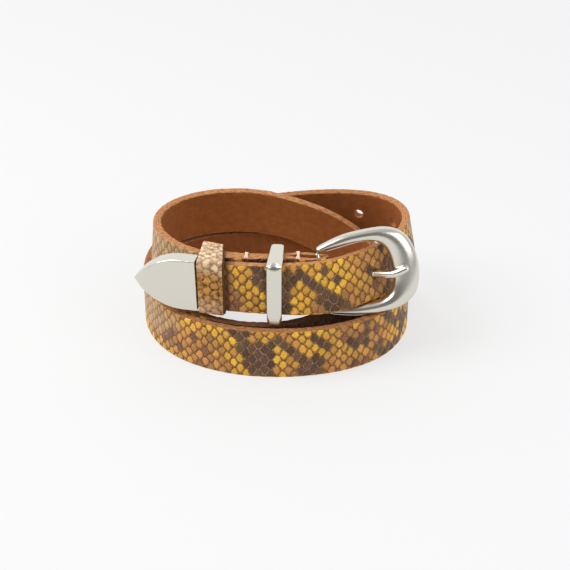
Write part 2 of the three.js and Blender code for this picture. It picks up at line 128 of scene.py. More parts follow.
INNER_LOWER_TURN = stations(
    (41.0, 7.5, 0.2, 4),
    (38.6, -2.0, 0.1, 3),
    (32.6, -9.6, 0.1, 3),
    (23.8, -14.1, 0.1, 4),
    (13.2, -20.2, 0.1, 2),
    (2.5, -26.8, 0.0, 0),
    (-10.0, -28.0, 0.0, 0),
    (-22.5, -25.4, 0.0, 0),
    (-34.0, -18.8, 0.0, 0),
    (-43.4, -9.4, 0.0, 0),
    (-49.2, 2.4, 0.0, 0),
    (-51.0, 15.5, 0.0, 0),
    (-48.8, 27.8, 0.0, 0),
    (-41.4, 37.4, 0.0, 0),
    (-30.0, 43.2, 0.0, 0),
    (-16.5, 45.3, 0.0, 0),
    (-3.0, 44.9, 0.0, 0),
    (10.0, 42.8, 0.0, 0),
    (22.5, 40.4, 0.0, 0),
    (34.0, 36.6, 0.0, 0),
    (42.4, 28.6, 0.0, 0),
)
OUTER_LOWER_TURN = stations(
    (46.6, 17.5, 0.0, 0),
    (47.1, 5.5, 0.0, 0),
    (44.0, -6.0, 0.0, 0),
    (38.4, -15.9, 0.0, 0),
    (30.1, -23.4, 0.0, 0),
    (19.5, -28.5, 0.0, 0),
    (8.0, -31.4, 0.0, 0),
    (-4.0, -32.2, 0.0, 0),
    (-16.0, -30.9, 0.0, 0),
    (-27.5, -27.1, 0.0, 0),
    (-38.0, -20.8, 0.0, 0),
    (-46.6, -11.6, 0.0, 0),
    (-52.2, 0.2, 0.0, 0),
    (-54.4, 13.8, 0.4, 0),
)
RISING_TAIL = stations(
    (-53.4, 27.4, 2.0, 1),
    (-47.2, 38.7, 4.5, 3),
    (-36.6, 46.0, 7.5, 4),
    (-23.6, 49.5, 10.8, 5),
    (-10.0, 50.0, 13.8, 7),
    (3.0, 48.6, 16.5, 8),
    (15.0, 45.7, 18.9, 9),
    (27.0, 42.2, 20.7, 9),
    (37.4, 38.4, 21.3, 10),
    (45.0, 31.6, 21.5, 10),
    (48.4, 22.2, 21.9, 10),
    (48.2, 12.2, 22.3, 11),
    (45.6, 3.4, 22.7, 13),
    (41.1, -5.0, 23.1, 15),
    (35.1, -11.7, 23.7, 14),
    (28.1, -17.2, 23.8, 14),
    (20.0, -22.65, 23.5, 17),
    (11.5, -25.4, 23.5, 15),
    (2.5, -25.9, 23.4, 7),
    (-7.0, -25.4, 23.3, 2),
    (-16.5, -24.3, 23.3, 0),
    (-26.0, -22.7, 23.3, -3),
    (-35.5, -20.5, 23.3, -5),
    (-45.2, -18.1, 23.3, -5),
    (-54.9, -15.7, 23.3, -5),
)


class RimRow(NamedTuple):
    """One cut through the buckle frame in its own plane: inner edge, outer edge, height of the dome."""

    inner_along: float
    inner_out: float
    outer_along: float
    outer_out: float
    rise: float


# Cuts from the upper arm's end round to the rim, and the one in the middle of the rim.
FRAME_HALF = [
    RimRow(*row)
    for row in (
        (0.2, 10.3, -0.5, 12.4, 2.6),
        (2.8, 10.5, 1.8, 13.4, 2.9),
        (6.8, 10.8, 6.1, 14.6, 3.1),
        (10.8, 11.2, 10.6, 15.6, 3.3),
        (14.8, 11.5, 15.0, 15.8, 3.4),
        (18.8, 11.4, 19.6, 15.8, 3.5),
        (21.7, 10.6, 24.4, 15.7, 3.6),
        (23.8, 9.0, 28.8, 14.5, 3.7),
        (25.0, 6.9, 32.2, 12.2, 3.8),
        (25.6, 4.7, 34.3, 8.7, 3.8),
        (25.9, 2.3, 35.4, 4.5, 3.8),
    )
]
FRAME_RIM = RimRow(26.0, 0, 35.8, 0, 3.8)


class TongueRow(NamedTuple):
    """One station of the tongue: along the buckle, up the bar, in front of its axis, and its radius."""

    along: float
    up: float
    front: float
    radius: float


# The tongue from its loop on the bar to its end on the rim.
TONGUE_LINE = [
    TongueRow(*row)
    for row in (
        (0.0, -1.2, 2.3, 1.0),
        (2.8, -1.3, 1.2, 1.2),
        (7.8, -1.4, -0.9, 1.35),
        (12.8, -1.5, -2.9, 1.45),
        (17.3, -1.5, -3.0, 1.5),
        (20.8, -1.7, -0.8, 1.5),
        (23.8, -2.3, 1.7, 1.55),
        (26.8, -1.9, 3.7, 1.5),
        (30.4, -0.8, 4.45, 1.15),
    )
]


class Mark(NamedTuple):
    """One straight stroke of the print: its two ends along and across the strap, and its half width."""

    from_s: float
    from_h: float
    to_s: float
    to_h: float
    radius: float


# The print repeats along the strap. s counts from the tip of its golden wedge towards the buckle's
# rim, and h from the middle of the width upwards, both in millimetres.
PRINT_REPEAT = 142.5
DARK_MARKS = [
    Mark(*row)
    for row in (
        (-18.0, 9.6, -15.2, 2.2, 2.6),
        (-12.2, 0.8, -10.6, -10.0, 4.1),
        (-8.4, 3.2, -7.4, -7.5, 2.7),
        (-7.8, 4.2, -3.6, 7.2, 2.0),
        (-3.6, 7.2, 1.0, 3.2, 1.8),
        (1.0, 3.2, 6.4, -1.8, 1.5),
        (6.4, -1.8, 12.2, -6.4, 1.9),
        (6.8, -5.4, 7.4, -9.6, 2.4),
        (10.4, -8.4, 12.4, -9.6, 2.0),
        (6.8, 6.9, 8.8, 5.6, 1.4),
        (11.4, 3.4, 13.6, 1.6, 1.3),
        (23.6, 2.2, 25.8, 0.2, 1.5),
        (30.2, 9.4, 30.8, 0.4, 1.3),
        # On the tail this stroke is a painted shadow along the frame's inner edge; on the lower turn it is
        # print.
        (30.8, 0.4, 31.4, -9.4, 0.6),
        (36.0, -1.2, 37.4, -2.4, 1.3),
        (33.2, -4.6, 34.4, -6.4, 1.2),
        (42.0, -1.0, 43.6, -2.6, 1.3),
        (39.0, 8.6, 46.6, 2.6, 2.4),
        (49.0, 3.0, 54.0, -3.0, 2.2),
        (38.4, -6.8, 48.2, -7.6, 2.4),
        (54.0, 5.0, 60.0, -2.0, 2.0),
    )
]
RUST_MARKS = [
    Mark(*row)
    for row in (
        (-60.0, 1.0, -33.0, -2.0, 8.0),
        (-28.6, -4.5, -24.0, -8.5, 3.4),
        (17.0, -7.0, 36.0, -5.0, 4.6),
        (22.0, 6.0, 36.0, 2.0, 5.0),
        (3.8, -6.4, 4.4, -9.0, 1.6),
    )
]
# Pale belly print, and in part a painted sheen: these strokes fall on the coil's lower left, where light
# grazes the curving strap.
PALE_MARKS = [
    Mark(*row)
    for row in (
        (-71.0, 3.0, -56.0, 3.0, 9.0),
        (-56.0, 3.0, -44.0, 6.0, 3.0),
        (60.0, 8.0, 71.0, 4.0, 9.0),
    )
]

# Each stretch of the strap is two lengths from its start and how softly it starts and ends.
# The print shows the snake's pale belly on the first. It is dark all over on the second, as painted
# shade where the inner lower turn shows under the tail, and nearly so on the third, which the tail covers,
# as painted shade in the gap between the fold and the tail.
BELLY_STRETCH = (92.0, 205.0, 25.0)
INNER_TURN_SHADE_STRETCH = (286.0, 345.0, 2.0)
FOLD_GAP_SHADE_STRETCH = (50.0, 96.0, 3.0)
# Painted shade darkens the cut edge and flesh side most where they lie in the tail's shadow, and the print
# there too; the edges and flesh side are a little darker on all of the lower turns.
UNDER_TAIL_SHADE_STRETCH = (276.0, 352.0, 12.0)
LOWER_STRETCH = (230.0, 800.0, 30.0)
# The tail's face and edges are darkened with the painted shadow that the sewn keeper casts on them.
KEEPER_SHADOW_STRETCH = (900.8, 918.0, 4.5)


def bspline(controls: np.ndarray, at: np.ndarray, derivative: bool = False) -> np.ndarray:
    """Uniform cubic B-spline: each point is a weighted mean of four controls, with straight ends.

    Args:
        controls: one row for each control.
        at: places counted in controls, from 0 to the last one.
        derivative: gives the direction in place of the point.

    Returns:
        One row for each place.
    """
    first = 2 * controls[0] - controls[1]
    last = 2 * controls[-1] - controls[-2]
    padded = np.vstack([first, controls, last])
    i = np.clip(np.floor(at).astype(int), 0, len(controls) - 2)
    f = (at - i)[:, None]
    if derivative:
        weights = [-((1 - f) ** 2) / 2, (3 * f * f - 4 * f) / 2, (1 + 2 * f - 3 * f * f) / 2, f * f / 2]
    else:
        weights = [
            (1 - f) ** 3 / 6,
            (3 * f**3 - 6 * f * f + 4) / 6,
            (1 + 3 * f + 3 * f * f - 3 * f**3) / 6,
            f**3 / 6,
        ]
    return sum(w * padded[i + k] for k, w in enumerate(weights))


def unit(vectors: np.ndarray) -> np.ndarray:
    """Vectors scaled to length one."""
    return vectors / np.linalg.norm(vectors, axis=-1, keepdims=True)


def value_noise(points: np.ndarray, seed: int) -> np.ndarray:
    """Smooth noise from -1 to 1: hashed values on whole-number places, eased between them.

    Args:
        points: places with two numbers each, in cells of the noise.
        seed: picks another pattern.

    Returns:
        One number for each place.
    """
    cell = np.floor(points)
    f = points - cell
    f = f * f * (3 - 2 * f)

    def corner(dx: int, dy: int) -> np.ndarray:
        """Hashed value at a corner of each place's cell."""
        angle = (cell[..., 0] + dx) * HASH_X + (cell[..., 1] + dy) * HASH_Y + seed * HASH_SEED
        raw = np.sin(angle) * HASH_SPREAD
        return 2 * (raw - np.floor(raw)) - 1

    low = corner(0, 0) * (1 - f[..., 0]) + corner(1, 0) * f[..., 0]
    high = corner(0, 1) * (1 - f[..., 0]) + corner(1, 1) * f[..., 0]
    return low * (1 - f[..., 1]) + high * f[..., 1]


@dataclass
class Frames:
    """Places along the strap: middle, direction, up, outward side, thickness and width."""

    mid: np.ndarray
    along: np.ndarray
    up: np.ndarray
    out: np.ndarray
    thick: np.ndarray
    width: np.ndarray

    def put(self, out: np.ndarray, up: np.ndarray) -> np.ndarray:
        """Points of each section: middle plus out times the outward side plus up times up.

        Args:
            out: distances outwards, one row for each place.
            up: distances upwards, of the same shape.

        Returns:
            An array of places by points by three.
        """
        return self.mid[:, None] + out[..., None] * self.out[:, None] + up[..., None] * self.up[:, None]


@dataclass
class BuckleAxes:
    """The buckle's own plane: along runs from bar to rim, up runs along the bar, front faces out.

    bar is the middle of the bar, in millimetres. The three angles are in degrees.
    """

    bar: tuple[float, float, float] = (13.7, -17.9, 32.0)
    bar_radius: float = 1.5
    bar_length: float = 21.2
    yaw: float = 5.5
    rise: float = 10.2
    lean: float = 17.0
    along: np.ndarray = field(init=False)
    up: np.ndarray = field(init=False)
    front: np.ndarray = field(init=False)

    def __post_init__(self) -> None:
        """Works the axes out from the three angles."""
        yaw, rise, lean = (math.radians(v) for v in (self.yaw, self.rise, self.lean))
        level = math.cos(rise)
        self.along = np.array([math.cos(yaw) * level, math.sin(yaw) * level, math.sin(rise)])
        up = np.array([0.0, math.sin(lean), math.cos(lean)])
        self.up = unit(up - (up @ self.along) * self.along)
        self.front = np.cross(self.along, self.up)

    def put(self, along: np.ndarray, up: np.ndarray, front: np.ndarray) -> np.ndarray:
        """Points of the buckle's plane in the belt's frame.

        Args:
            along: distances from the bar towards the rim.
            up: distances up the bar.
            front: distances in front of the bar's axis.

        Returns:
            Three numbers for each point.
        """
        along, up, front = np.broadcast_arrays(along, up, front)
        return (
            np.array(self.bar)
            + along[..., None] * self.along
            + up[..., None] * self.up
            + front[..., None] * self.front
        )


@dataclass
class StrapPath:
    """The strap's middle line from its folded end, round the bar and three turns, to the tip.

    backed_thick is the thickness of the layer that the fold is sewn to, fold_step the degrees between
    controls round the bar, middle the place in plan that the turns lean to, samples the places measured
    between two controls, and tail_share the share of the line before the tail.
    """

    axes: BuckleAxes
    width: float = 19.5
    thick: float = 3.0
    backed_thick: float = 2.8
    fold_width: float = 18.2
    fold_thick: float = 2.4
    fold_step: float = 30.0
    middle: tuple[float, float] = (-3.0, 8.0)
    samples: int = 32
    tail_share: float = 0.7
    controls: np.ndarray = field(init=False)
    lengths: np.ndarray = field(init=False)

    def __post_init__(self) -> None:
        """Gathers the controls and measures the line."""
        folded = [self._control(row, self.fold_thick, self.fold_width) for row in FOLD_BACK]
        after = [self._control(row, self.fold_thick, self.fold_width) for row in AFTER_FOLD]
        backed = [self._control(row, self.backed_thick, self.width) for row in UPPER_TURN[:3]]
        free = [
            self._control(row, self.thick, self.width)
            for row in UPPER_TURN[3:] + INNER_LOWER_TURN + OUTER_LOWER_TURN + RISING_TAIL
        ]
        self.controls = np.array(folded + self._round_bar() + after + backed + free)
        places = np.arange((len(self.controls) - 1) * self.samples + 1) / self.samples
        mid = bspline(self.controls, places)[:, :3]
        self.lengths = np.concatenate([[0], np.cumsum(np.linalg.norm(np.diff(mid, axis=0), axis=1))])

    @property
    def length(self) -> float:
        """Whole length of the line."""
        return float(self.lengths[-1])

    def _control(self, row: Station, thick: float, width: float) -> list[float]:
        """A station as a control.

        Args:
            row: the station.
            thick: the strap's thickness there.
            width: the strap's width there.

        Returns:
            Middle, leaning up direction, thickness and width.
        """
        inward = unit(np.array(self.middle) - np.array([row.x, row.y]))
        lean = math.radians(row.lean)
        up = [inward[0] * math.sin(lean), inward[1] * math.sin(lean), math.cos(lean)]
        return [row.x, row.y, row.base + self.width / 2, *up, thick, width]

    def _round_bar(self) -> list[list[float]]:
        """Controls on half a circle about the bar, set out so that the curve keeps its radius.

        Returns:
            One control for each step of the bend.
        """
        step = math.radians(self.fold_step)
        radius = self.axes.bar_radius + GAP + self.fold_thick / 2
        pulled = radius * 3 / (2 + math.cos(step))
        angles = math.pi / 2 - step * np.arange(int(180 / self.fold_step) + 1)
        mids = self.axes.put(pulled * np.cos(angles), 0.0, -pulled * np.sin(angles))
        return [[*mid, *self.axes.up, self.fold_thick, self.fold_width] for mid in mids]

    def frames(self, at: np.ndarray) -> Frames:
        """The strap's places: up is squared to the direction, and out is their cross product.

        Args:
            at: places counted in controls.

        Returns:
            One place for each number.
        """
        rows = bspline(self.controls, at)
        along = unit(bspline(self.controls, at, derivative=True)[:, :3])
        up = rows[:, 3:6]
        up = unit(up - np.sum(up * along, axis=1, keepdims=True) * along)
        return Frames(rows[:, :3], along, up, np.cross(up, along), rows[:, 6], rows[:, 7])

    def at_lengths(self, lengths: np.ndarray) -> Frames:
        """The strap's places at lengths along it."""
        places = np.arange(len(self.lengths)) / self.samples
        return self.frames(np.interp(lengths, self.lengths, places))

    def nearest(self, point: np.ndarray, share: float = 0.0) -> float:
        """Length at which the line comes nearest to a point.

        Args:
            point: the point.
            share: share of the whole length before which the line is left out.

        Returns:
            The length from the strap's start.
        """
        places = np.arange(len(self.lengths)) / self.samples
        distance = np.linalg.norm(bspline(self.controls, places)[:, :3] - point, axis=1)
        distance[self.lengths < share * self.length] = np.inf
        return float(self.lengths[int(np.argmin(distance))])


@dataclass
class Shell:
    """A closed skin of quads over a grid: sections in rows, points round each section in columns.

    Sections run anticlockwise about the direction from row to row, so the faces point outwards.
    """

    points: np.ndarray
    uv: np.ndarray | None = None
    slots: np.ndarray | None = None
    ring: bool = False
    fields: dict[str, np.ndarray] = field(default_factory=dict)

    def _cells(self) -> np.ndarray:
        """Row and column of each quad's first point."""
        n, m = self.points.shape[:2]
        return np.indices((n if self.ring else n - 1, m)).reshape(2, -1)

    def faces(self) -> tuple[list[list[int]], np.ndarray]:
        """Quads between neighbouring points, and a closing polygon at each open end.

        Returns:
            The faces, and the material slot of each.
        """
        n, m = self.points.shape[:2]
        i, k = self._cells()
        nxt, turn = (i + 1) % n, (k + 1) % m
        quads = np.stack([i * m + k, i * m + turn, nxt * m + turn, nxt * m + k], axis=1)
        around = np.zeros(m, dtype=int) if self.slots is None else self.slots
        slots = around[k]
        faces = quads.tolist()
        if not self.ring:
            faces += [list(range(m - 1, -1, -1)), list(range((n - 1) * m, n * m))]
            slots = np.concatenate([slots, [around[0], around[0]]])
        return faces, slots

    def corner_uv(self) -> np.ndarray:
        """The map's place at each face corner. The map has one more column than the skin, and in a ring
        one more row, so that it counts on past the seam.

        Returns:
            One row for each corner of each face, in the order of the faces.
        """
        m = self.points.shape[1]
        i, k = self._cells()
        around = ((i, k), (i, k + 1), (i + 1, k + 1), (i + 1, k))
        quads = np.stack([self.uv[place] for place in around], axis=1)
        corners = [quads.reshape(-1, 2)]
        if not self.ring:
            corners += [self.uv[0, m - 1 :: -1][:m], self.uv[-1, :m]]
        return np.concatenate(corners)


def make_object(
    name: str, shells: Sequence[Shell], finishes: Sequence[bpy.types.Material]
) -> bpy.types.Object:
    """One object from shells given in millimetres, smooth shaded, with its map and fields.

    Args:
        name: the object's name.
        shells: closed skins, whose slots count in finishes.
        finishes: materials in the order of their slots.

    Returns:
        The object, at the origin.
    """
    vertices, faces, slots, corners = [], [], [], []
    names = sorted({key for shell in shells for key in shell.fields})
    fields: dict[str, list[np.ndarray]] = {key: [] for key in names}
    count = 0
    for shell in shells:
        own_faces, own_slots = shell.faces()
        faces += [[index + count for index in face] for face in own_faces]
        slots.append(own_slots)
        flat = shell.points.reshape(-1, 3)
        vertices.append(flat)
        for key in names:
            fields[key].append(shell.fields.get(key, np.zeros(len(flat))).ravel())
        if shell.uv is not None:
            corners.append(shell.corner_uv())
        count += len(flat)
    mesh = bpy.data.meshes.new(name)
    mesh.from_pydata((np.concatenate(vertices) * MM).tolist(), [], faces)
    for finish in finishes:
        mesh.materials.append(finish)
    mesh.polygons.foreach_set("material_index", np.concatenate(slots).astype(np.int32))
    mesh.polygons.foreach_set("use_smooth", np.ones(len(mesh.polygons), dtype=bool))
    if corners:
        places = np.concatenate(corners).astype(np.float32).ravel()
        mesh.uv_layers.new(name="UVMap").data.foreach_set("uv", places)
    for key in names:
        layer = mesh.attributes.new(key, "FLOAT", "POINT")
        layer.data.foreach_set("value", np.concatenate(fields[key]).astype(np.float32))
    mesh.update()
    obj = bpy.data.objects.new(name, mesh)
    bpy.context.collection.objects.link(obj)
    return obj


def outline(half_x: float, half_y: float, radius: float, steps: int) -> np.ndarray:
    """Rectangle with round corners, anticlockwise from its lower right corner.

    Args:
        half_x: half its width.
        half_y: half its height.
        radius: radius of its corners.
        steps: steps round each corner.

    Returns:
        One row of x and y for each point.
    """
    angles = np.radians(np.linspace(0, 90, steps + 1))
    corners = []
    for turn, (sx, sy) in enumerate(((1, -1), (1, 1), (-1, 1), (-1, -1))):
        a = angles + math.radians(90 * (turn - 1))
        x = sx * (half_x - radius) + radius * np.cos(a)
        y = sy * (half_y - radius) + radius * np.sin(a)
        corners.append(np.stack([x, y], axis=1))
    return np.concatenate(corners)


# Latitudes of the circles on the half ball that closes a rod, in degrees.
BALL_ANGLES = np.array([80, 60, 40, 20])


def tube(centres: np.ndarray, radii: np.ndarray, side: np.ndarray, sides: int, slot: int = 0) -> Shell:
    """Round rod: circles square to a line of centres, with a half ball over each end.

    Args:
        centres: points of the middle line.
        radii: one radius for each point.
        side: a direction that is never along the line.
        sides: points round each circle.
        slot: material slot of its faces.

    Returns:
        The closed skin.
    """
    tangent = unit(np.gradient(centres, axis=0))
    dome = np.radians(BALL_ANGLES)
    first = centres[0] - tangent[0] * radii[0] * np.sin(dome)[:, None]
    last = centres[-1] + tangent[-1] * radii[-1] * np.sin(dome[::-1])[:, None]
    centres = np.concatenate([first, centres, last])
    radii = np.concatenate([radii[0] * np.cos(dome), radii, radii[-1] * np.cos(dome[::-1])])
    rings = len(dome)
    tangent = np.concatenate([np.repeat(tangent[:1], rings, 0), tangent, np.repeat(tangent[-1:], rings, 0)])
    normal = unit(np.cross(tangent, side))
    across = np.cross(tangent, normal)
    angle = 2 * math.pi * np.arange(sides) / sides
    round_it = np.cos(angle)[:, None] * normal[:, None] + np.sin(angle)[:, None] * across[:, None]
    return Shell(centres[:, None] + radii[:, None, None] * round_it, slots=np.full(sides, slot))


def steps_between(start: float, end: float, step: float) -> np.ndarray:
    """Evenly spaced numbers from start to end, no further apart than step."""
    return np.linspace(start, end, max(2, math.ceil(abs(end - start) / step) + 1))


class Palette(Enum):
    """Colours by name, as sRGB hex values."""

    GOLD_LIGHT = "ECB83E"
    GOLD = "DA9E3A"
    AMBER = "CC9048"
    OCHRE = "BE8C4C"
    RUST = "B88350"
    MAUVE = "7A5448"
    # Also the painted shade on each scale's rim.
    GOLD_RIM = "A06C34"
    GOLD_LINE = "4A260C"
    BARK = "4E3620"
    UMBER = "6C5038"
    AUBERGINE = "5C3E34"
    DARK_LINE = "B08A60"
    BELLY = "C8A880"
    BELLY_SHADE = "B28A60"
    BELLY_LINE = "85593A"
    CUT_EDGE = "CA8E5C"
    CUT_SHADE = "925A30"
    FLESH = "AA6430"
    FLESH_DARK = "84461A"
    # The dark of soil and of painted shade, on edges, flesh side and print.
    EDGE_DARK = "4C2A12"
    KEEPER_PALE = "F4DAB6"
    KEEPER_OLIVE = "CC9242"
    KEEPER_MAUVE = "D8AE88"
    KEEPER_LINE = "2E1408"
    NICKEL = "D9D5CA"
    THREAD = "EBCDBC"
    FLOOR = "808080"
    GLOW = "FFFFFF"

    @property
    def linear(self) -> tuple[float, float, float, float]:
        """The colour in linear light, opaque."""
        parts = [part / 255 for part in bytes.fromhex(self.value)]
        return (*(c / 12.92 if c <= 0.04045 else ((c + 0.055) / 1.055) ** 2.4 for c in parts), 1.0)


class NodeSheet:
    """The node tree of a material or a world, filled one node at a time."""

    def __init__(self, owner: bpy.types.Material | bpy.types.World) -> None:
        """Takes the tree and finds the shader that the owner starts with.

        Args:
            owner: a new material or world.
        """
        owner.use_nodes = True
        self.owner = owner
        self.tree = owner.node_tree
        self.surface = next(n for n in self.tree.nodes if n.type in ("BSDF_PRINCIPLED", "BACKGROUND"))

    def add(
        self, kind: str, inputs: dict[int | str, Any] | None = None, out: int | str = 0, **settings: Any
    ) -> bpy.types.NodeSocket:
        """Adds a node with its settings, and links or sets its inputs.

        Args:
            kind: the node's type, without its leading word.
            inputs: sockets, colours or values, by the input's number or name.
            out: number or name of the output to give back.
            settings: the node's properties.

        Returns:
            One of the node's outputs.
        """
        node = self.tree.nodes.new(f"ShaderNode{kind}")
        for key, value in settings.items():
            setattr(node, key, value)
        self.feed(node, inputs or {})
        return node.outputs[out]

    def feed(self, node: bpy.types.Node, inputs: dict[int | str, Any]) -> None:
        """Links sockets to a node's inputs, and sets colours and values on them.

        Args:
            node: the node.
            inputs: sockets, colours or values, by the input's number or name.
        """
        for key, value in inputs.items():
            if isinstance(value, bpy.types.NodeSocket):
                self.tree.links.new(value, node.inputs[key])
            else:
                node.inputs[key].default_value = value.linear if isinstance(value, Palette) else value

    def finish(self, inputs: dict[int | str, Any]) -> bpy.types.Material | bpy.types.World:
        """Feeds the shader at the end of the tree, and gives the material or world back."""
        self.feed(self.surface, inputs)
        return self.owner


class ScaleNodes(NamedTuple):
    """Sockets of the scale lattice: distances in millimetres, and a random number for each scale."""

    near: bpy.types.NodeSocket
    lit: bpy.types.NodeSocket
    between: bpy.types.NodeSocket
    random: bpy.types.NodeSocket

    def outline(
        self, sheet: NodeSheet, seam: tuple[float, float], corner: tuple[float, float], most: float = 1.0
    ) -> bpy.types.NodeSocket:
        """Strength of the lines between the scales, with filled corners.

        Args:
            sheet: the material's nodes.
            seam: distances between which the line fades towards the scale.
            corner: distances from the scale's middle between which a corner fills.
            most: strength where it is strongest.

        Returns:
            The greater of the two strengths.
        """
        line = sheet.add("MapRange", {0: self.between, 1: seam[0], 2: seam[1], 3: most, 4: 0.0}, **EASED)
        fill = sheet.add("MapRange", {0: self.near, 1: corner[0], 2: corner[1], 4: most}, **EASED)
        return sheet.add("Math", {0: line, 1: fill}, operation="MAXIMUM")


@dataclass(frozen=True)
class ScaleLattice:
    """Snake scales in crossed rows: on the strap upright ovals, 4.5 mm apart along it and 4.4 mm across.

    A place belongs to the centre with the least distance sqrt((stretch x)^2 + y^2), so a stretch over
    one makes the scales narrower than they are tall. lift is how far the spot that catches the light
    lies up and to one side of a scale's middle.
    """

    pitch_along: float = 4.5
    pitch_across: float = 4.4
    stretch: float = 1.3
    lift: float = 0.3

    def centres(self, place: np.ndarray) -> np.ndarray:
        """Middle of the scale that each place lies in: the nearer of two rectangular rows of points.

        Args:
            place: places on the print, in millimetres.

        Returns:
            The middles, in the same shape.
        """
        pitch = np.array([self.pitch_along, self.pitch_across])
        weight = np.array([self.stretch, 1.0])
        straight = np.round(place / pitch) * pitch
        crossed = (np.round(place / pitch - 0.5) + 0.5) * pitch
        far = [np.linalg.norm((place - centre) * weight, axis=-1) for centre in (straight, crossed)]
        return np.where((far[0] <= far[1])[..., None], straight, crossed)

    def draw(self, sheet: NodeSheet, place: bpy.types.NodeSocket) -> ScaleNodes:
        """Nodes for the same lattice.

        Args:
            sheet: the material's nodes.
            place: place on the print, in millimetres.

        Returns:
            near: distance from the scale's middle. lit: distance from a spot over its middle, where
            light catches it. between: how much nearer its middle is than the next one. random.
        """
        pitch = (self.pitch_along, self.pitch_across, 1.0)
        reach = (self.pitch_along * self.stretch, self.pitch_across, 0.0)
        shares = sheet.add("VectorMath", {0: place, 1: pitch}, operation="DIVIDE")
        found = []
        for shift in (0.5, 0.0):
            moved = sheet.add("VectorMath", {0: shares, 1: (shift, shift, 0.0)}, operation="ADD")
            cell = sheet.add("VectorMath", {0: moved}, operation="FLOOR")
            number = sheet.add("VectorMath", {0: cell, 1: (shift / 2, 0.0, 0.0)}, operation="ADD")
            inside = sheet.add("VectorMath", {0: moved}, operation="FRACTION")
            middle = sheet.add("VectorMath", {0: inside, 1: (0.5, 0.5, 0.0)}, operation="SUBTRACT")
            flat = sheet.add("VectorMath", {0: middle, 1: reach}, operation="MULTIPLY")
            length = sheet.add("VectorMath", {0: flat}, out="Value", operation="LENGTH")
            found.append((length, flat, number))
        (near_a, flat_a, number_a), (near_b, flat_b, number_b) = found
        use_b = sheet.add("Math", {0: near_b, 1: near_a}, operation="LESS_THAN")
        flat = sheet.add("Mix", {0: use_b, 4: flat_a, 5: flat_b}, out=1, data_type="VECTOR")
        number = sheet.add("Mix", {0: use_b, 4: number_a, 5: number_b}, out=1, data_type="VECTOR")
        gap = sheet.add("Math", {0: near_a, 1: near_b}, operation="SUBTRACT")
        spot = sheet.add("VectorMath", {0: flat, 1: (self.lift, -self.lift, 0.0)}, operation="ADD")
        return ScaleNodes(
            near=sheet.add("Math", {0: near_a, 1: near_b}, operation="MINIMUM"),
            lit=sheet.add("VectorMath", {0: spot}, out="Value", operation="LENGTH"),
            between=sheet.add("Math", {0: gap}, operation="ABSOLUTE"),
            random=sheet.add("TexWhiteNoise", {"Vector": number}, noise_dimensions="2D"),
        )


LATTICE = ScaleLattice()


def shaken(
    sheet: NodeSheet, place: bpy.types.NodeSocket, per_mm: float, reach: float
) -> bpy.types.NodeSocket:
    """The place moved by a slow noise, so that the scales drawn there are uneven.

    Args:
        sheet: the material's nodes.
        place: place on the print, in millimetres.
        per_mm: the noise's cells to the millimetre.
        reach: millimetres moved for a whole unit of the noise.

    Returns:
        The moved place.
    """
    noise = sheet.add("TexNoise", {"Vector": place, "Scale": per_mm, "Detail": 2.0}, out="Color")
    offset = sheet.add("VectorMath", {0: noise, 1: (0.5, 0.5, 0.5)}, operation="SUBTRACT")
    offset = sheet.add("VectorMath", {0: offset, "Scale": reach}, operation="SCALE")
    return sheet.add("VectorMath", {0: place, 1: offset}, operation="ADD")


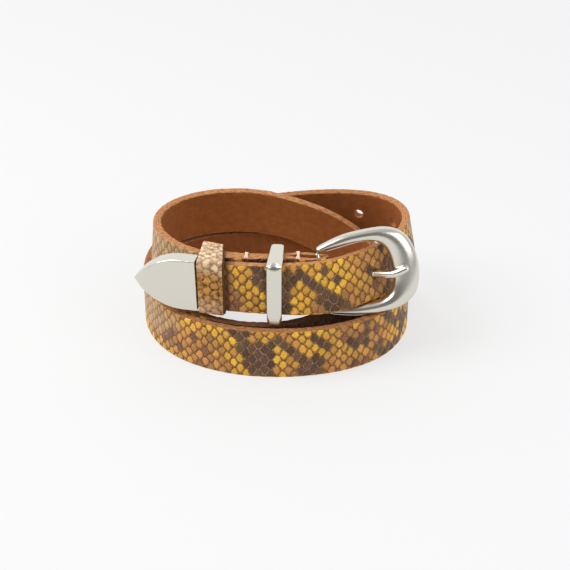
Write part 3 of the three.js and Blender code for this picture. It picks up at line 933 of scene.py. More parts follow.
@dataclass(frozen=True)
class PrintedLeather:
    """Cowhide embossed and printed as python skin under a thin soft resin finish: dull gold oval scales
    with soft brown rims, partly printed and partly painted shade, saddle marks of dark scales with thin tan
    rims, and a paler belly.

    What ends in per_mm is a noise's cells to the millimetre. A pair is the distances, in millimetres,
    between which a line or a rim fades.
    """

    name: str = "embossed_printed_cowhide"
    wobble: float = 1.7
    wobble_per_mm: float = 0.45
    patch_per_mm: float = 0.8
    cloud_per_mm: float = 1.7
    speck_per_mm: float = 2.6
    grain_per_mm: float = 6.0
    rim: tuple[float, float] = (1.2, 2.0)
    seam: tuple[float, float] = (0.05, 0.6)
    corner: tuple[float, float] = (1.85, 2.2)
    thin_seam: tuple[float, float] = (0.1, 0.5)
    thin_corner: tuple[float, float] = (1.95, 2.2)
    dome: tuple[float, float] = (0.5, 2.3)
    groove: float = 1.1
    relief: float = 0.36
    resin_ior: float = 1.33

    def build(self) -> bpy.types.Material:
        """Lays the dark scales, the painted shade and soil, and the wear over the light scales.

        Returns:
            The finished material.
        """
        sheet = NodeSheet(bpy.data.materials.new(self.name))
        add = sheet.add
        place = add("UVMap", uv_map="UVMap")
        scales = LATTICE.draw(sheet, shaken(sheet, place, self.wobble_per_mm, self.wobble))
        patch = add("TexNoise", {"Vector": place, "Scale": self.patch_per_mm, "Detail": 3.0})
        grain = add("TexNoise", {"Vector": place, "Scale": self.grain_per_mm, "Detail": 3.0})

        dark = add("Attribute", out="Fac", attribute_name="dark")
        dark = add("MapRange", {0: dark, 1: 0.35, 2: 0.65}, **EASED)
        light, deep = self._light(sheet, scales, patch), self._deep(sheet, place, scales, patch)
        colour = add("Mix", {0: dark, 6: light, 7: deep}, **BLEND)
        # Painted shade in the tail's shadow and in the sewn keeper's shadow, with soil, darkens the print.
        soil = add("Attribute", out="Fac", attribute_name="soil")
        soil = add("MapRange", {0: soil, 1: 0.5, 2: 0.8, 4: 0.8})
        colour = add("Mix", {0: soil, 6: colour, 7: Palette.EDGE_DARK}, **BLEND)

        # Brightness goes up and down in clouds, and a little from scale to scale.
        cloud = add(
            "TexNoise", {"Vector": place, "Scale": self.cloud_per_mm, "Detail": 4.0, "Roughness": 0.7}
        )
        cloud = add("MapRange", {0: cloud, 1: 0.3, 2: 0.7, 3: 0.62, 4: 1.34})
        worn = add("TexWhiteNoise", {"Vector": scales.random}, noise_dimensions="3D")
        worn = add("MapRange", {0: worn, 3: 0.8, 4: 1.16})
        cloud = add("Math", {0: cloud, 1: worn}, operation="MULTIPLY")
        return sheet.finish({
            "Base Color": add("VectorMath", {0: colour, "Scale": cloud}, operation="SCALE"),
            "Roughness": add("MapRange", {0: grain, 1: 0.3, 2: 0.7, 3: 0.4, 4: 0.6}),
            "Normal": self._bump(sheet, scales, grain),
            "IOR": self.resin_ior,
        })

    def _light(
        self, sheet: NodeSheet, scales: ScaleNodes, patch: bpy.types.NodeSocket
    ) -> bpy.types.NodeSocket:
        """Colour of the gold, rusty and pale scales, with rims partly of painted shade, and uneven
        outlines.

        Args:
            sheet: the material's nodes.
            scales: the lattice.
            patch: noise that breaks the outlines and tints some scales.

        Returns:
            The colour.
        """
        add = sheet.add
        rust = add("Attribute", out="Fac", attribute_name="rust")
        pale = add("Attribute", out="Fac", attribute_name="pale")
        few = add("MapRange", {0: scales.random, 1: 0.18, 2: 0.08, 4: 0.9}, **EASED)
        gold = add("Mix", {0: scales.random, 6: Palette.GOLD, 7: Palette.GOLD_LIGHT}, **BLEND)
        gold = add("Mix", {0: few, 6: gold, 7: Palette.AMBER}, **BLEND)
        few = add("MapRange", {0: scales.random, 1: 0.21, 2: 0.13}, **EASED)
        warm = add("Mix", {0: scales.random, 6: Palette.RUST, 7: Palette.AMBER}, **BLEND)
        warm = add("Mix", {0: few, 6: warm, 7: Palette.MAUVE}, **BLEND)
        belly = add("Mix", {0: patch, 6: Palette.BELLY_SHADE, 7: Palette.BELLY}, **BLEND)
        tone = add("Mix", {0: rust, 6: gold, 7: warm}, **BLEND)
        blotch = add("MapRange", {0: patch, 1: 0.5, 2: 0.75, 4: 0.4}, **EASED)
        tone = add("Mix", {0: blotch, 6: tone, 7: Palette.OCHRE}, **BLEND)
        tone = add("Mix", {0: pale, 6: tone, 7: belly}, **BLEND)

        # Each scale's rim darkens away from the spot where light catches it: partly printed rim, partly
        # painted shade of the emboss.
        rim = add("MapRange", {0: scales.lit, 1: self.rim[0], 2: self.rim[1], 4: 0.9}, **EASED)
        rim_and_shade_tone = add("Mix", {0: pale, 6: Palette.GOLD_RIM, 7: Palette.BELLY_SHADE}, **BLEND)
        tone = add("Mix", {0: rim, 6: tone, 7: rim_and_shade_tone}, **BLEND)
        line = scales.outline(sheet, self.seam, self.corner)
        uneven = add("MapRange", {0: patch, 1: 0.35, 2: 0.65, 3: 0.55, 4: 1.0}, **EASED)
        line = add("Math", {0: line, 1: uneven}, operation="MULTIPLY")
        line_tone = add("Mix", {0: pale, 6: Palette.GOLD_LINE, 7: Palette.BELLY_LINE}, **BLEND)
        return add("Mix", {0: line, 6: tone, 7: line_tone}, **BLEND)

    def _deep(
        self,
        sheet: NodeSheet,
        place: bpy.types.NodeSocket,
        scales: ScaleNodes,
        patch: bpy.types.NodeSocket,
    ) -> bpy.types.NodeSocket:
        """Colour of the dark scales, with thin broken tan outlines and tan specks.

        Args:
            sheet: the material's nodes.
            place: place on the print, in millimetres.
            scales: the lattice.
            patch: noise that breaks the outlines.

        Returns:
            The colour.
        """
        add = sheet.add
        some = add("MapRange", {0: scales.random, 1: 0.66, 2: 0.74}, **EASED)
        deep = add("Mix", {0: scales.random, 6: Palette.BARK, 7: Palette.UMBER}, **BLEND)
        deep = add("Mix", {0: some, 6: deep, 7: Palette.AUBERGINE}, **BLEND)
        thin = scales.outline(sheet, self.thin_seam, self.thin_corner, 0.9)
        broken = add("MapRange", {0: patch, 1: 0.34, 2: 0.6, 3: 0.25, 4: 1.0}, **EASED)
        thin = add("Math", {0: thin, 1: broken}, operation="MULTIPLY")
        deep = add("Mix", {0: thin, 6: deep, 7: Palette.DARK_LINE}, **BLEND)
        speck = add("TexNoise", {"Vector": place, "Scale": self.speck_per_mm, "Detail": 3.0})
        speck = add("MapRange", {0: speck, 1: 0.5, 2: 0.7, 4: 0.5})
        return add("Mix", {0: speck, 6: deep, 7: Palette.DARK_LINE}, **BLEND)

    def _bump(
        self, sheet: NodeSheet, scales: ScaleNodes, grain: bpy.types.NodeSocket
    ) -> bpy.types.NodeSocket:
        """Relief of domed scales with grooves between them, and the hide's fine grain.

        Args:
            sheet: the material's nodes.
            scales: the lattice.
            grain: noise of the grain.

        Returns:
            The normal.
        """
        add = sheet.add
        low, high = self.dome
        dome = add("MapRange", {0: scales.near, 1: low, 2: high, 3: 1.0, 4: 0.35}, **EASED)
        groove = add("MapRange", {0: scales.between, 1: 0.0, 2: self.groove}, **EASED)
        height = add("Math", {0: dome, 1: groove}, operation="MULTIPLY")
        height = add("Math", {0: grain, 1: 0.12, 2: height}, operation="MULTIPLY_ADD")
        return add("Bump", {"Height": height, "Distance": self.relief * MM})


@dataclass(frozen=True)
class PalePrintedLeather:
    """The keeper's strip of the same hide from the print's belly: wide uneven scales with dark outlines,
    cream above, olive in the middle and mauve brown below.

    Pairs and what ends in per_mm are as in the strap's leather. upper and lower are heights over the
    surface that the belt stands on, between which a colour fades in.
    """

    name: str = "pale_embossed_cowhide"
    lattice: ScaleLattice = ScaleLattice(5.4, 3.6, 0.9, 0.2)
    wobble: float = 2.8
    wobble_per_mm: float = 0.6
    patch_per_mm: float = 0.7
    blotch_per_mm: float = 0.5
    upper: tuple[float, float] = (39.5, 46.5)
    lower: tuple[float, float] = (34.5, 28.5)
    shift: float = 6.0
    rim: tuple[float, float] = (0.8, 1.8)
    seam: tuple[float, float] = (0.05, 0.6)
    corner: tuple[float, float] = (1.5, 1.85)
    dome: tuple[float, float] = (0.4, 1.8)
    relief: float = 0.3
    resin_ior: float = 1.33

    def build(self) -> bpy.types.Material:
        """Colours the scales by their height, and draws outlines and blotches on them.

        Returns:
            The finished material.
        """
        sheet = NodeSheet(bpy.data.materials.new(self.name))
        add = sheet.add
        place = add("UVMap", uv_map="UVMap")
        scales = self.lattice.draw(sheet, shaken(sheet, place, self.wobble_per_mm, self.wobble))
        patch = add("TexNoise", {"Vector": place, "Scale": self.patch_per_mm, "Detail": 3.0})
        height = add("SeparateXYZ", {0: add("TexCoord", out="Object")}, out=2)
        height = add("Math", {0: patch, 1: self.shift * MM, 2: height}, operation="MULTIPLY_ADD")
        upper, lower = (
            add("MapRange", {0: height, 1: start * MM, 2: end * MM}, **EASED)
            for start, end in (self.upper, self.lower)
        )

        tone = add("Mix", {0: upper, 6: Palette.KEEPER_OLIVE, 7: Palette.KEEPER_PALE}, **BLEND)
        tone = add("Mix", {0: lower, 6: tone, 7: Palette.KEEPER_MAUVE}, **BLEND)
        some = add("Math", {0: scales.random, 1: 0.5}, operation="MULTIPLY")
        tone = add("Mix", {0: some, 6: tone, 7: Palette.GOLD_RIM}, **BLEND)
        # The rim darkens away from the spot where light catches it: partly printed rim, partly painted
        # shade of the emboss.
        rim = add("MapRange", {0: scales.lit, 1: self.rim[0], 2: self.rim[1], 4: 0.6}, **EASED)
        tone = add("Mix", {0: rim, 6: tone, 7: Palette.GOLD_RIM}, **BLEND)

        # The outlines are broken, faint on the cream and less so on the mauve.
        line = scales.outline(sheet, self.seam, self.corner)
        broken = add("MapRange", {0: patch, 1: 0.3, 2: 0.55, 3: 0.5, 4: 1.0}, **EASED)
        above = add("MapRange", {0: upper, 3: 1.0, 4: 0.45})
        below = add("MapRange", {0: lower, 3: 1.0, 4: 0.7})
        for share in (broken, above, below):
            line = add("Math", {0: line, 1: share}, operation="MULTIPLY")
        blotch = add("TexNoise", {"Vector": place, "Scale": self.blotch_per_mm, "Detail": 3.0})
        blotch = add("MapRange", {0: blotch, 1: 0.5, 2: 0.66, 4: 0.6}, **EASED)
        blotch = add("Math", {0: blotch, 1: below}, operation="MULTIPLY")
        line = add("Math", {0: line, 1: blotch}, operation="MAXIMUM")
        low, high = self.dome
        dome = add("MapRange", {0: scales.near, 1: low, 2: high, 3: 1.0, 4: 0.2}, **EASED)
        return sheet.finish({
            "Base Color": add("Mix", {0: line, 6: tone, 7: Palette.KEEPER_LINE}, **BLEND),
            "Roughness": 0.5,
            "Normal": add("Bump", {"Height": dome, "Distance": self.relief * MM}),
            "IOR": self.resin_ior,
        })


@dataclass(frozen=True)
class CutEdge:
    """Raw cut edge of vegetable-tanned hide: light tan, matt and fibrous, darker where painted shade and
    soil lie on it.

    The streaks are drawn out along the strap: stretch gives their cells to the millimetre along and
    across it, before streaks_per_mm multiplies both. Single fibres are too fine to show, so they are
    drawn in bundles of a third of a millimetre.
    """

    name: str = "raw_cut_hide_edge"
    stretch: tuple[float, float, float] = (0.45, 1.6, 1.0)
    streaks_per_mm: float = 1.3
    fibres_per_mm: float = 3.5
    relief: float = 0.25

    def build(self) -> bpy.types.Material:
        """Sets the shader up.

        Returns:
            The finished material.
        """
        sheet = NodeSheet(bpy.data.materials.new(self.name))
        add = sheet.add
        place = add("UVMap", uv_map="UVMap")
        long = add("VectorMath", {0: place, 1: self.stretch}, operation="MULTIPLY")
        streaks = add("TexNoise", {"Vector": long, "Scale": self.streaks_per_mm, "Detail": 5.0})
        share = add("MapRange", {0: streaks, 1: 0.38, 2: 0.68}, **EASED)
        fibres = add("TexNoise", {"Vector": place, "Scale": self.fibres_per_mm, "Detail": 5.0})
        raw = add("Mix", {0: share, 6: Palette.CUT_EDGE, 7: Palette.CUT_SHADE}, **BLEND)
        # Painted shade and soil darken the edge.
        soil = add("Attribute", out="Fac", attribute_name="soil")
        return sheet.finish({
            "Base Color": add("Mix", {0: soil, 6: raw, 7: Palette.EDGE_DARK}, **BLEND),
            "Roughness": 0.9,
            "Normal": add("Bump", {"Height": fibres, "Distance": self.relief * MM}),
            "IOR": 1.4,
        })


@dataclass(frozen=True)
class FleshSide:
    """Flesh side of the hide, sueded: orange brown, with a short nap that catches the light in specks.

    The nap is too fine to show, so it is drawn in tufts of a third of a millimetre.
    """

    name: str = "sueded_flesh_side"
    clouds_per_mm: float = 0.35
    nap_per_mm: float = 3.0
    relief: float = 0.18

    def build(self) -> bpy.types.Material:
        """Sets the shader up.

        Returns:
            The finished material.
        """
        sheet = NodeSheet(bpy.data.materials.new(self.name))
        add = sheet.add
        place = add("UVMap", uv_map="UVMap")
        clouds = add(
            "TexNoise", {"Vector": place, "Scale": self.clouds_per_mm, "Detail": 9.0, "Roughness": 0.8}
        )
        share = add("MapRange", {0: clouds, 1: 0.3, 2: 0.7})
        nap = add("TexNoise", {"Vector": place, "Scale": self.nap_per_mm, "Detail": 5.0})
        colour = add("Mix", {0: share, 6: Palette.FLESH_DARK, 7: Palette.FLESH}, **BLEND)
        # Painted shade and soil darken the flesh side.
        soil = add("Attribute", out="Fac", attribute_name="soil")
        return sheet.finish({
            "Base Color": add("Mix", {0: soil, 6: colour, 7: Palette.EDGE_DARK}, **BLEND),
            "Roughness": 0.95,
            "Normal": add("Bump", {"Height": nap, "Distance": self.relief * MM}),
            "IOR": 1.3,
            "Sheen Weight": 0.04,
            "Sheen Roughness": 0.5,
        })


@dataclass(frozen=True)
class SatinNickel:
    """Zinc casting, brushed and plated with satin nickel: warm grey, with broad soft reflections.

    The brushing is too fine to show, so it is drawn as coarse as a third of a millimetre.
    """

    name: str = "satin_nickel_plate"
    roughness: float = 0.22
    smoother: float = 0.04
    rougher: float = 0.06
    brushing_per_mm: float = 3.0
    relief: float = 0.01

    def build(self) -> bpy.types.Material:
        """Sets the shader up.

        Returns:
            The finished material.
        """
        sheet = NodeSheet(bpy.data.materials.new(self.name))
        add = sheet.add
        place = add("TexCoord", out="Object")
        fine = add("TexNoise", {"Vector": place, "Scale": self.brushing_per_mm / MM, "Detail": 3.0})
        low, high = self.roughness - self.smoother, self.roughness + self.rougher
        return sheet.finish({
            "Base Color": Palette.NICKEL,
            "Metallic": 1.0,
            "Roughness": add("MapRange", {0: fine, 1: 0.2, 2: 0.8, 3: low, 4: high}),
            "Normal": add("Bump", {"Height": fine, "Distance": self.relief * MM}),
        })


@dataclass(frozen=True)
class WaxedThread:
    """Waxed polyester thread: cream, with the twist of its two plies as a fine bump."""

    name: str = "waxed_cream_thread"
    twist_per_mm: float = 2.5
    relief: float = 0.05

    def build(self) -> bpy.types.Material:
        """Sets the shader up.

        Returns:
            The finished material.
        """
        sheet = NodeSheet(bpy.data.materials.new(self.name))
        place = sheet.add("TexCoord", out="Object")
        twist = sheet.add("TexNoise", {"Vector": place, "Scale": self.twist_per_mm / MM, "Detail": 2.0})
        return sheet.finish({
            "Base Color": Palette.THREAD,
            "Roughness": 0.6,
            "Normal": sheet.add("Bump", {"Height": twist, "Distance": self.relief * MM}),
        })


@dataclass(frozen=True)
class StudioFloor:
    """Sheet of opal plastic, matt moulded and lit evenly from below, which keeps its shadows faint."""

    name: str = "lit_opal_sheet"
    glow: float = 0.645
    tooth_per_mm: float = 0.8
    relief: float = 0.02

    def build(self) -> bpy.types.Material:
        """Sets the shader up.

        Returns:
            The finished material.
        """
        sheet = NodeSheet(bpy.data.materials.new(self.name))
        place = sheet.add("TexCoord", out="Object")
        tooth = sheet.add("TexNoise", {"Vector": place, "Scale": self.tooth_per_mm / MM, "Detail": 2.0})
        return sheet.finish({
            "Base Color": Palette.FLOOR,
            "Roughness": 0.9,
            "Normal": sheet.add("Bump", {"Height": tooth, "Distance": self.relief * MM}),
            "Emission Color": Palette.GLOW,
            "Emission Strength": self.glow,
        })


@dataclass
class Finishes:
    """Every material of the belt, built once."""

    printed: bpy.types.Material = field(default_factory=PrintedLeather().build)
    pale: bpy.types.Material = field(default_factory=PalePrintedLeather().build)
    edge: bpy.types.Material = field(default_factory=CutEdge().build)
    flesh: bpy.types.Material = field(default_factory=FleshSide().build)
    nickel: bpy.types.Material = field(default_factory=SatinNickel().build)
    thread: bpy.types.Material = field(default_factory=WaxedThread().build)
    floor: bpy.types.Material = field(default_factory=StudioFloor().build)


@dataclass
class SnakePrint:
    """Where the print's dark, rusty and pale scales lie, from its three charts of strokes, and where
    painted shade darkens it.

    The whole print is warped by a slow noise with cells of warp_cell, along and across the strap.
    """

    path: StrapPath
    wedge_tip: tuple[float, float, float] = (7.6, -25.3, 33.3)
    warp: float = 0.5
    warp_cell: tuple[float, float] = (12.0, 8.0)
    pale_fade: float = 6.0
    rust_fade: float = 5.0
    ragged: float = 0.5

    def place(self, lengths: np.ndarray, across: np.ndarray) -> np.ndarray:
        """The map's place: distance from the print's start towards the rim, and height, both warped.

        Args:
            lengths: lengths along the strap, of any shape.
            across: heights from the middle of the strap, of the same shape.

        Returns:
            The same shape with two numbers each.
        """
        start = self.path.nearest(np.array(self.wedge_tip), self.path.tail_share)
        s = start - lengths
        cells = np.stack([s / self.warp_cell[0], across / self.warp_cell[1]], axis=-1)
        return np.stack(
            [s + self.warp * value_noise(cells, 1), across + self.warp * value_noise(cells, 2)], axis=-1
        )

    @staticmethod
    def depth(place: np.ndarray, marks: Sequence[Mark]) -> np.ndarray:
        """How far inside the nearest stroke a place is: the stroke's half width less the distance to
        its straight line, counted on each repeat of the print.

        Args:
            place: the map's places.
            marks: the strokes.

        Returns:
            One depth for each place, in millimetres, less than nothing outside every stroke.
        """
        s = np.mod(place[..., 0] + PRINT_REPEAT / 2, PRINT_REPEAT) - PRINT_REPEAT / 2
        best = np.full(s.shape, -np.inf)
        for mark in marks:
            start = np.array([mark.from_s, mark.from_h])
            run = np.array([mark.to_s, mark.to_h]) - start
            for turn in (-PRINT_REPEAT, 0.0, PRINT_REPEAT):
                at = np.stack([s + turn, place[..., 1]], axis=-1) - start
                share = np.clip(at @ run / max(run @ run, 1e-9), 0, 1)
                distance = np.linalg.norm(at - share[..., None] * run, axis=-1)
                best = np.maximum(best, mark.radius - distance)
        return best

    def fields(self, place: np.ndarray, lengths: np.ndarray) -> dict[str, np.ndarray]:
        """The numbers dark, rust, pale and soil at each place. Dark is the same all over a scale, and
        pale and rust fade over a few millimetres with a slow noise. Dark is also painted shade on two
        stretches, and soil is painted shade and soil.

        Args:
            place: the map's places.
            lengths: lengths along the strap, one for each row of places.

        Returns:
            Numbers from 0 to 1 by name.
        """
        middle = LATTICE.centres(place)
        belly, inner_turn_shade, behind, under_tail_shade, lower, keeper_shadow = (
            np.clip(np.minimum(lengths - start, end - lengths) / soft, 0, 1)[:, None]
            for start, end, soft in (
                BELLY_STRETCH, INNER_TURN_SHADE_STRETCH, FOLD_GAP_SHADE_STRETCH, UNDER_TAIL_SHADE_STRETCH, LOWER_STRETCH, KEEPER_SHADOW_STRETCH
            )
        )
        pale = 0.2 + self.depth(place, PALE_MARKS) / self.pale_fade + 0.2 * value_noise(place / 4, 9)
        pale = np.maximum(np.clip(pale, 0, 1), belly)
        ragged = self.ragged * value_noise(middle / 2.1, 5)
        # On the two gap stretches the dark print is painted shade.
        dark = np.maximum((self.depth(middle, DARK_MARKS) + ragged > 0) * (pale < 0.5), inner_turn_shade)
        dark = np.maximum(dark, behind + ragged > 0.8)
        rust = 0.5 + self.depth(middle, RUST_MARKS) / self.rust_fade + 0.3 * value_noise(middle / 5, 7)

        # A little darker on the lower turns, stronger as painted shade in the tail's shadow, and strongest
        # as the sewn keeper's painted shadow.
        soil = np.clip(0.25 * lower + 0.6 * under_tail_shade + 0.9 * keeper_shadow, 0, 1) + np.zeros_like(dark)
        return {"dark": dark, "rust": np.clip(rust, 0, 1), "pale": pale, "soil": soil}


# The strap's material slots.
PRINTED, CUT, FLESH = range(3)


@dataclass
class Strap:
    """The strap: a band with a printed face, cut edges and a sueded flesh side, and its holes.

    The edges are ragged by a noise with cells of ragged_cell, along and round the strap. crease is
    the angle in degrees over which an edge stays sharp, here and in the other pieces.
    """

    path: StrapPath
    axes: BuckleAxes
    finishes: Finishes
    along_step: float = 0.8
    across_step: float = 0.55
    back_points: int = 13
    outer_round: float = 0.5
    inner_round: float = 0.35
    hole_diameter: float = 3.8
    hole_pitch: float = 17.0
    holes_before_tongue: int = 4
    punch_reach: float = 3.2
    ragged: float = 0.12
    ragged_thick: float = 0.7
    ragged_cell: tuple[float, float] = (1.3, 0.8)
    gauge_row: int = 200
    crease: float = 50.0

    def profile(self, half: np.ndarray, depth: np.ndarray) -> tuple[np.ndarray, np.ndarray, np.ndarray]:
        """The band's section, anticlockwise about its direction: printed face, upper edge, flesh side
        and lower edge, with rounded corners.

        Args:
            half: half width at each place.
            depth: half thickness at each place.

        Returns:
            Distances outwards, distances upwards, and the material slot of each strip.
        """
        face = int(round(self.path.width / self.across_step))
        quarter = np.radians(np.array([15, 45, 75]))
        full = np.linspace(-1, 1, face + 1)
        back = np.linspace(1, -1, self.back_points)
        edge = np.array([0.5, 0.0, -0.5])
        ro, ri = self.outer_round, self.inner_round
        t, w = depth[:, None], half[:, None]
        out = [
            t * np.ones(face + 1), t - ro + ro * np.cos(quarter), t * edge,
            -t + ri - ri * np.sin(quarter), -t * np.ones(self.back_points),
            -t + ri - ri * np.cos(quarter), t * -edge, t - ro + ro * np.sin(quarter),
        ]
        up = [
            (w - ro) * full, w - ro + ro * np.sin(quarter), w * np.ones(3),
            w - ri + ri * np.cos(quarter), (w - ri) * back,
            -(w - ri) - ri * np.sin(quarter), -w * np.ones(3), -(w - ro) - ro * np.cos(quarter),
        ]
        # The print goes on over two strips of each outer corner, and the other eight are cut hide.
        strips = (face + 2, 8, self.back_points - 1, 8, 2)
        slots = np.repeat((PRINTED, CUT, FLESH, CUT, PRINTED), strips)
        return np.concatenate(out, axis=1), np.concatenate(up, axis=1), slots

    def band(self) -> Shell:
        """The whole band as one skin, with its map in millimetres and the print's fields. The way round
        the section is measured on one row where the strap has its full width.

        Returns:
            The skin.
        """
        end = self.path.length - MetalTip.solid
        lengths = steps_between(0.0, end, self.along_step)
        frames = self.path.at_lengths(lengths)
        inside_tip = MetalTip.half_height(self.path.length - lengths) - MetalTip.edge - GAP
        half = np.minimum(frames.width / 2, inside_tip)
        out, up, slots = self.profile(half, frames.thick / 2)
        gauge = np.hypot(np.diff(out[self.gauge_row]), np.diff(up[self.gauge_row]))
        around = np.concatenate([[0.0], np.cumsum(gauge)])
        long, high = self.ragged_cell
        cells = np.stack(np.broadcast_arrays(lengths[:, None] / long, around[None, :] / high), axis=-1)
        cut = slots == CUT
        up = up + self.ragged * value_noise(cells, 3) * cut * np.sign(up)
        out = out + self.ragged_thick * self.ragged * value_noise(cells, 4) * cut
        ring = np.concatenate([around, [around[-1] + 1]]) - self.path.width / 2 + self.outer_round
        where, height = np.broadcast_arrays(lengths[:, None], ring[None, :])
        chart = SnakePrint(self.path)
        uv = chart.place(where, height)
        return Shell(frames.put(out, up), uv, slots, fields=chart.fields(uv[:, :-1], lengths))

    def hole_lengths(self) -> np.ndarray:
        """Where the holes are punched.

        Returns:
            Lengths along the strap, from the tongue's own hole to the last free one.
        """
        crossing = self.axes.put(*Tongue.crossing)
        first = self.path.nearest(crossing, self.path.tail_share)
        return first - self.hole_pitch * np.arange(self.holes_before_tongue + 1)

    def cutters(self) -> list[Shell]:
        """Rods for the free holes, the tongue's own hole and the slot in the fold.

        Returns:
            One closed rod for each cut.
        """
        rods = []
        for length in self.hole_lengths()[1:]:
            frame = self.path.at_lengths(np.array([length]))
            reach = self.punch_reach * frame.out[0]
            centres = np.array([frame.mid[0] - reach, frame.mid[0], frame.mid[0] + reach])
            rods.append(tube(centres, np.full(3, self.hole_diameter / 2), frame.up[0], sides=36, slot=CUT))
        tongue = Tongue(self.axes, self.finishes)
        rods.append(tongue.shaft(grow=Tongue.clear, slot=CUT))
        radius = self.axes.bar_radius + GAP + self.path.fold_thick + GAP
        heights = TONGUE_LINE[0].up + np.array([-1.0, 0.0, 1.0]) * (Tongue.loop_wide / 2 + Tongue.clear)
        ends = self.axes.put(0.0, heights, 0.0)
        collar = tube(ends, np.full(3, radius), self.axes.front, sides=40, slot=CUT)
        collar.points = collar.points[len(BALL_ANGLES) : -len(BALL_ANGLES)]
        rods.append(collar)
        return rods

    def build(self) -> bpy.types.Object:
        """Builds the band, cuts its holes one after another and hides the plain solid.

        Returns:
            The strap.
        """
        finishes = [self.finishes.printed, self.finishes.edge, self.finishes.flesh]
        piece = make_object("printed_strap", [self.band()], finishes)
        for number, shell in enumerate(self.cutters()):
            cutter = make_object(f"punch_{number}", [shell], finishes)
            cut = piece.modifiers.new("punch", "BOOLEAN")
            cut.operation, cut.solver, cut.object = "DIFFERENCE", "EXACT", cutter
            graph = bpy.context.evaluated_depsgraph_get()
            mesh = bpy.data.meshes.new_from_object(piece.evaluated_get(graph))
            piece.modifiers.clear()
            piece.data = mesh
            bpy.data.objects.remove(cutter)
        piece.data.set_sharp_from_angle(angle=math.radians(self.crease))
        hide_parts("strap")
        return piece


@dataclass
class Stitches:
    """Cream thread in two cross rows through the doubled leather, over its upper edge.

    front_y and back_y are the two layers' places in plan, at each row's x, and level is their height.
    """

    path: StrapPath
    finishes: Finishes
    rows: tuple[float, ...] = (-13.9, 4.4)
    front_y: float = -19.2
    back_y: float = -15.9
    level: float = 33.0
    radius: float = 0.36
    over_radius: float = 0.414
    spread: float = 0.5
    stitch: float = 2.3
    pitch: float = 3.0
    first_drop: float = 0.9
    count: int = 5
    over_points: int = 30
    upright_points: int = 9
    sides: int = 8

    def build(self) -> bpy.types.Object:
        """Two strands over the edge and a column of stitches down each layer, for each row.

        Returns:
            One object of all the stitches.
        """
        shells = []
        for x in self.rows:
            front = self._layer(x, self.front_y, PAST_FOLD)
            back = self._layer(x, self.back_y, 0.0)
            for side in (-1, 1):
                shells.append(self._over(front, back, self.spread * side))
            for frame in (front, back):
                shells += [self._upright(frame, n) for n in range(self.count)]
        return make_object("cross_stitches", shells, [self.finishes.thread])

    def _layer(self, x: float, y: float, share: float) -> Frames:
        """The strap's place in the layer that passes a place in plan.

        Args:
            x: the place's x, in millimetres.
            y: the place's y.
            share: share of the strap's whole length before which it is left out.

        Returns:
            One place.
        """
        length = self.path.nearest(np.array([x, y, self.level]), share)
        return self.path.at_lengths(np.array([length]))

    def _at(self, frame: Frames, out: float, up: float, along: float) -> np.ndarray:
        """A point by its distances from a place on the strap."""
        return frame.mid[0] + out * frame.out[0] + up * frame.up[0] + along * frame.along[0]

    def _over(self, front: Frames, back: Frames, slant: float) -> Shell:
        """One strand from the outer face over both layers' upper edges. Each knot is a share of the
        layer's half thickness outwards, a height by its upper edge, and a share of the slant.

        Args:
            front: the place in the front layer.
            back: the place in the fold.
            slant: how far the strand goes to one side.

        Returns:
            The strand.
        """
        out_f, out_b = front.thick[0] / 2 + self.radius * 0.6, back.thick[0] / 2 + self.radius * 0.6
        top_f, top_b = front.width[0] / 2, back.width[0] / 2
        knots = np.array([
            self._at(front, out_f * 0.5, top_f - 0.7, -slant),
            self._at(front, out_f * 0.5, top_f - 0.2, -slant),
            self._at(front, out_f * 0.2, top_f + self.radius * 0.9, -slant * 0.6),
            self._at(front, -out_f * 0.6, top_f + self.radius * 0.6, 0.0),
            self._at(back, 0.0, top_b + self.radius * 1.4, slant * 0.5),
            self._at(back, out_b, top_b - 0.2, slant * 0.7),
            self._at(back, out_b, top_b - 1.2, slant),
        ])
        line = bspline(knots, np.linspace(0, len(knots) - 1, self.over_points))
        return tube(line, np.full(len(line), self.over_radius), front.along[0], self.sides)

    def _upright(self, frame: Frames, n: int) -> Shell:
        """One stitch down a face, arched as its thread dips into both holes: it stands out less by the
        fourth power of the distance from its middle.

        Args:
            frame: the place in its layer.
            n: its number, counted from the top.

        Returns:
            The stitch.
        """
        middle = (self.count / 2 - n) * self.pitch - self.first_drop
        t = np.linspace(-1, 1, self.upright_points)
        lift = frame.thick[0] / 2 + self.radius * (0.9 - 1.5 * t**4)
        line = np.array([self._at(frame, o, middle + self.stitch / 2 * s, 0.0) for o, s in zip(lift, t)])
        return tube(line, np.full(len(t), self.radius), frame.along[0], self.sides)


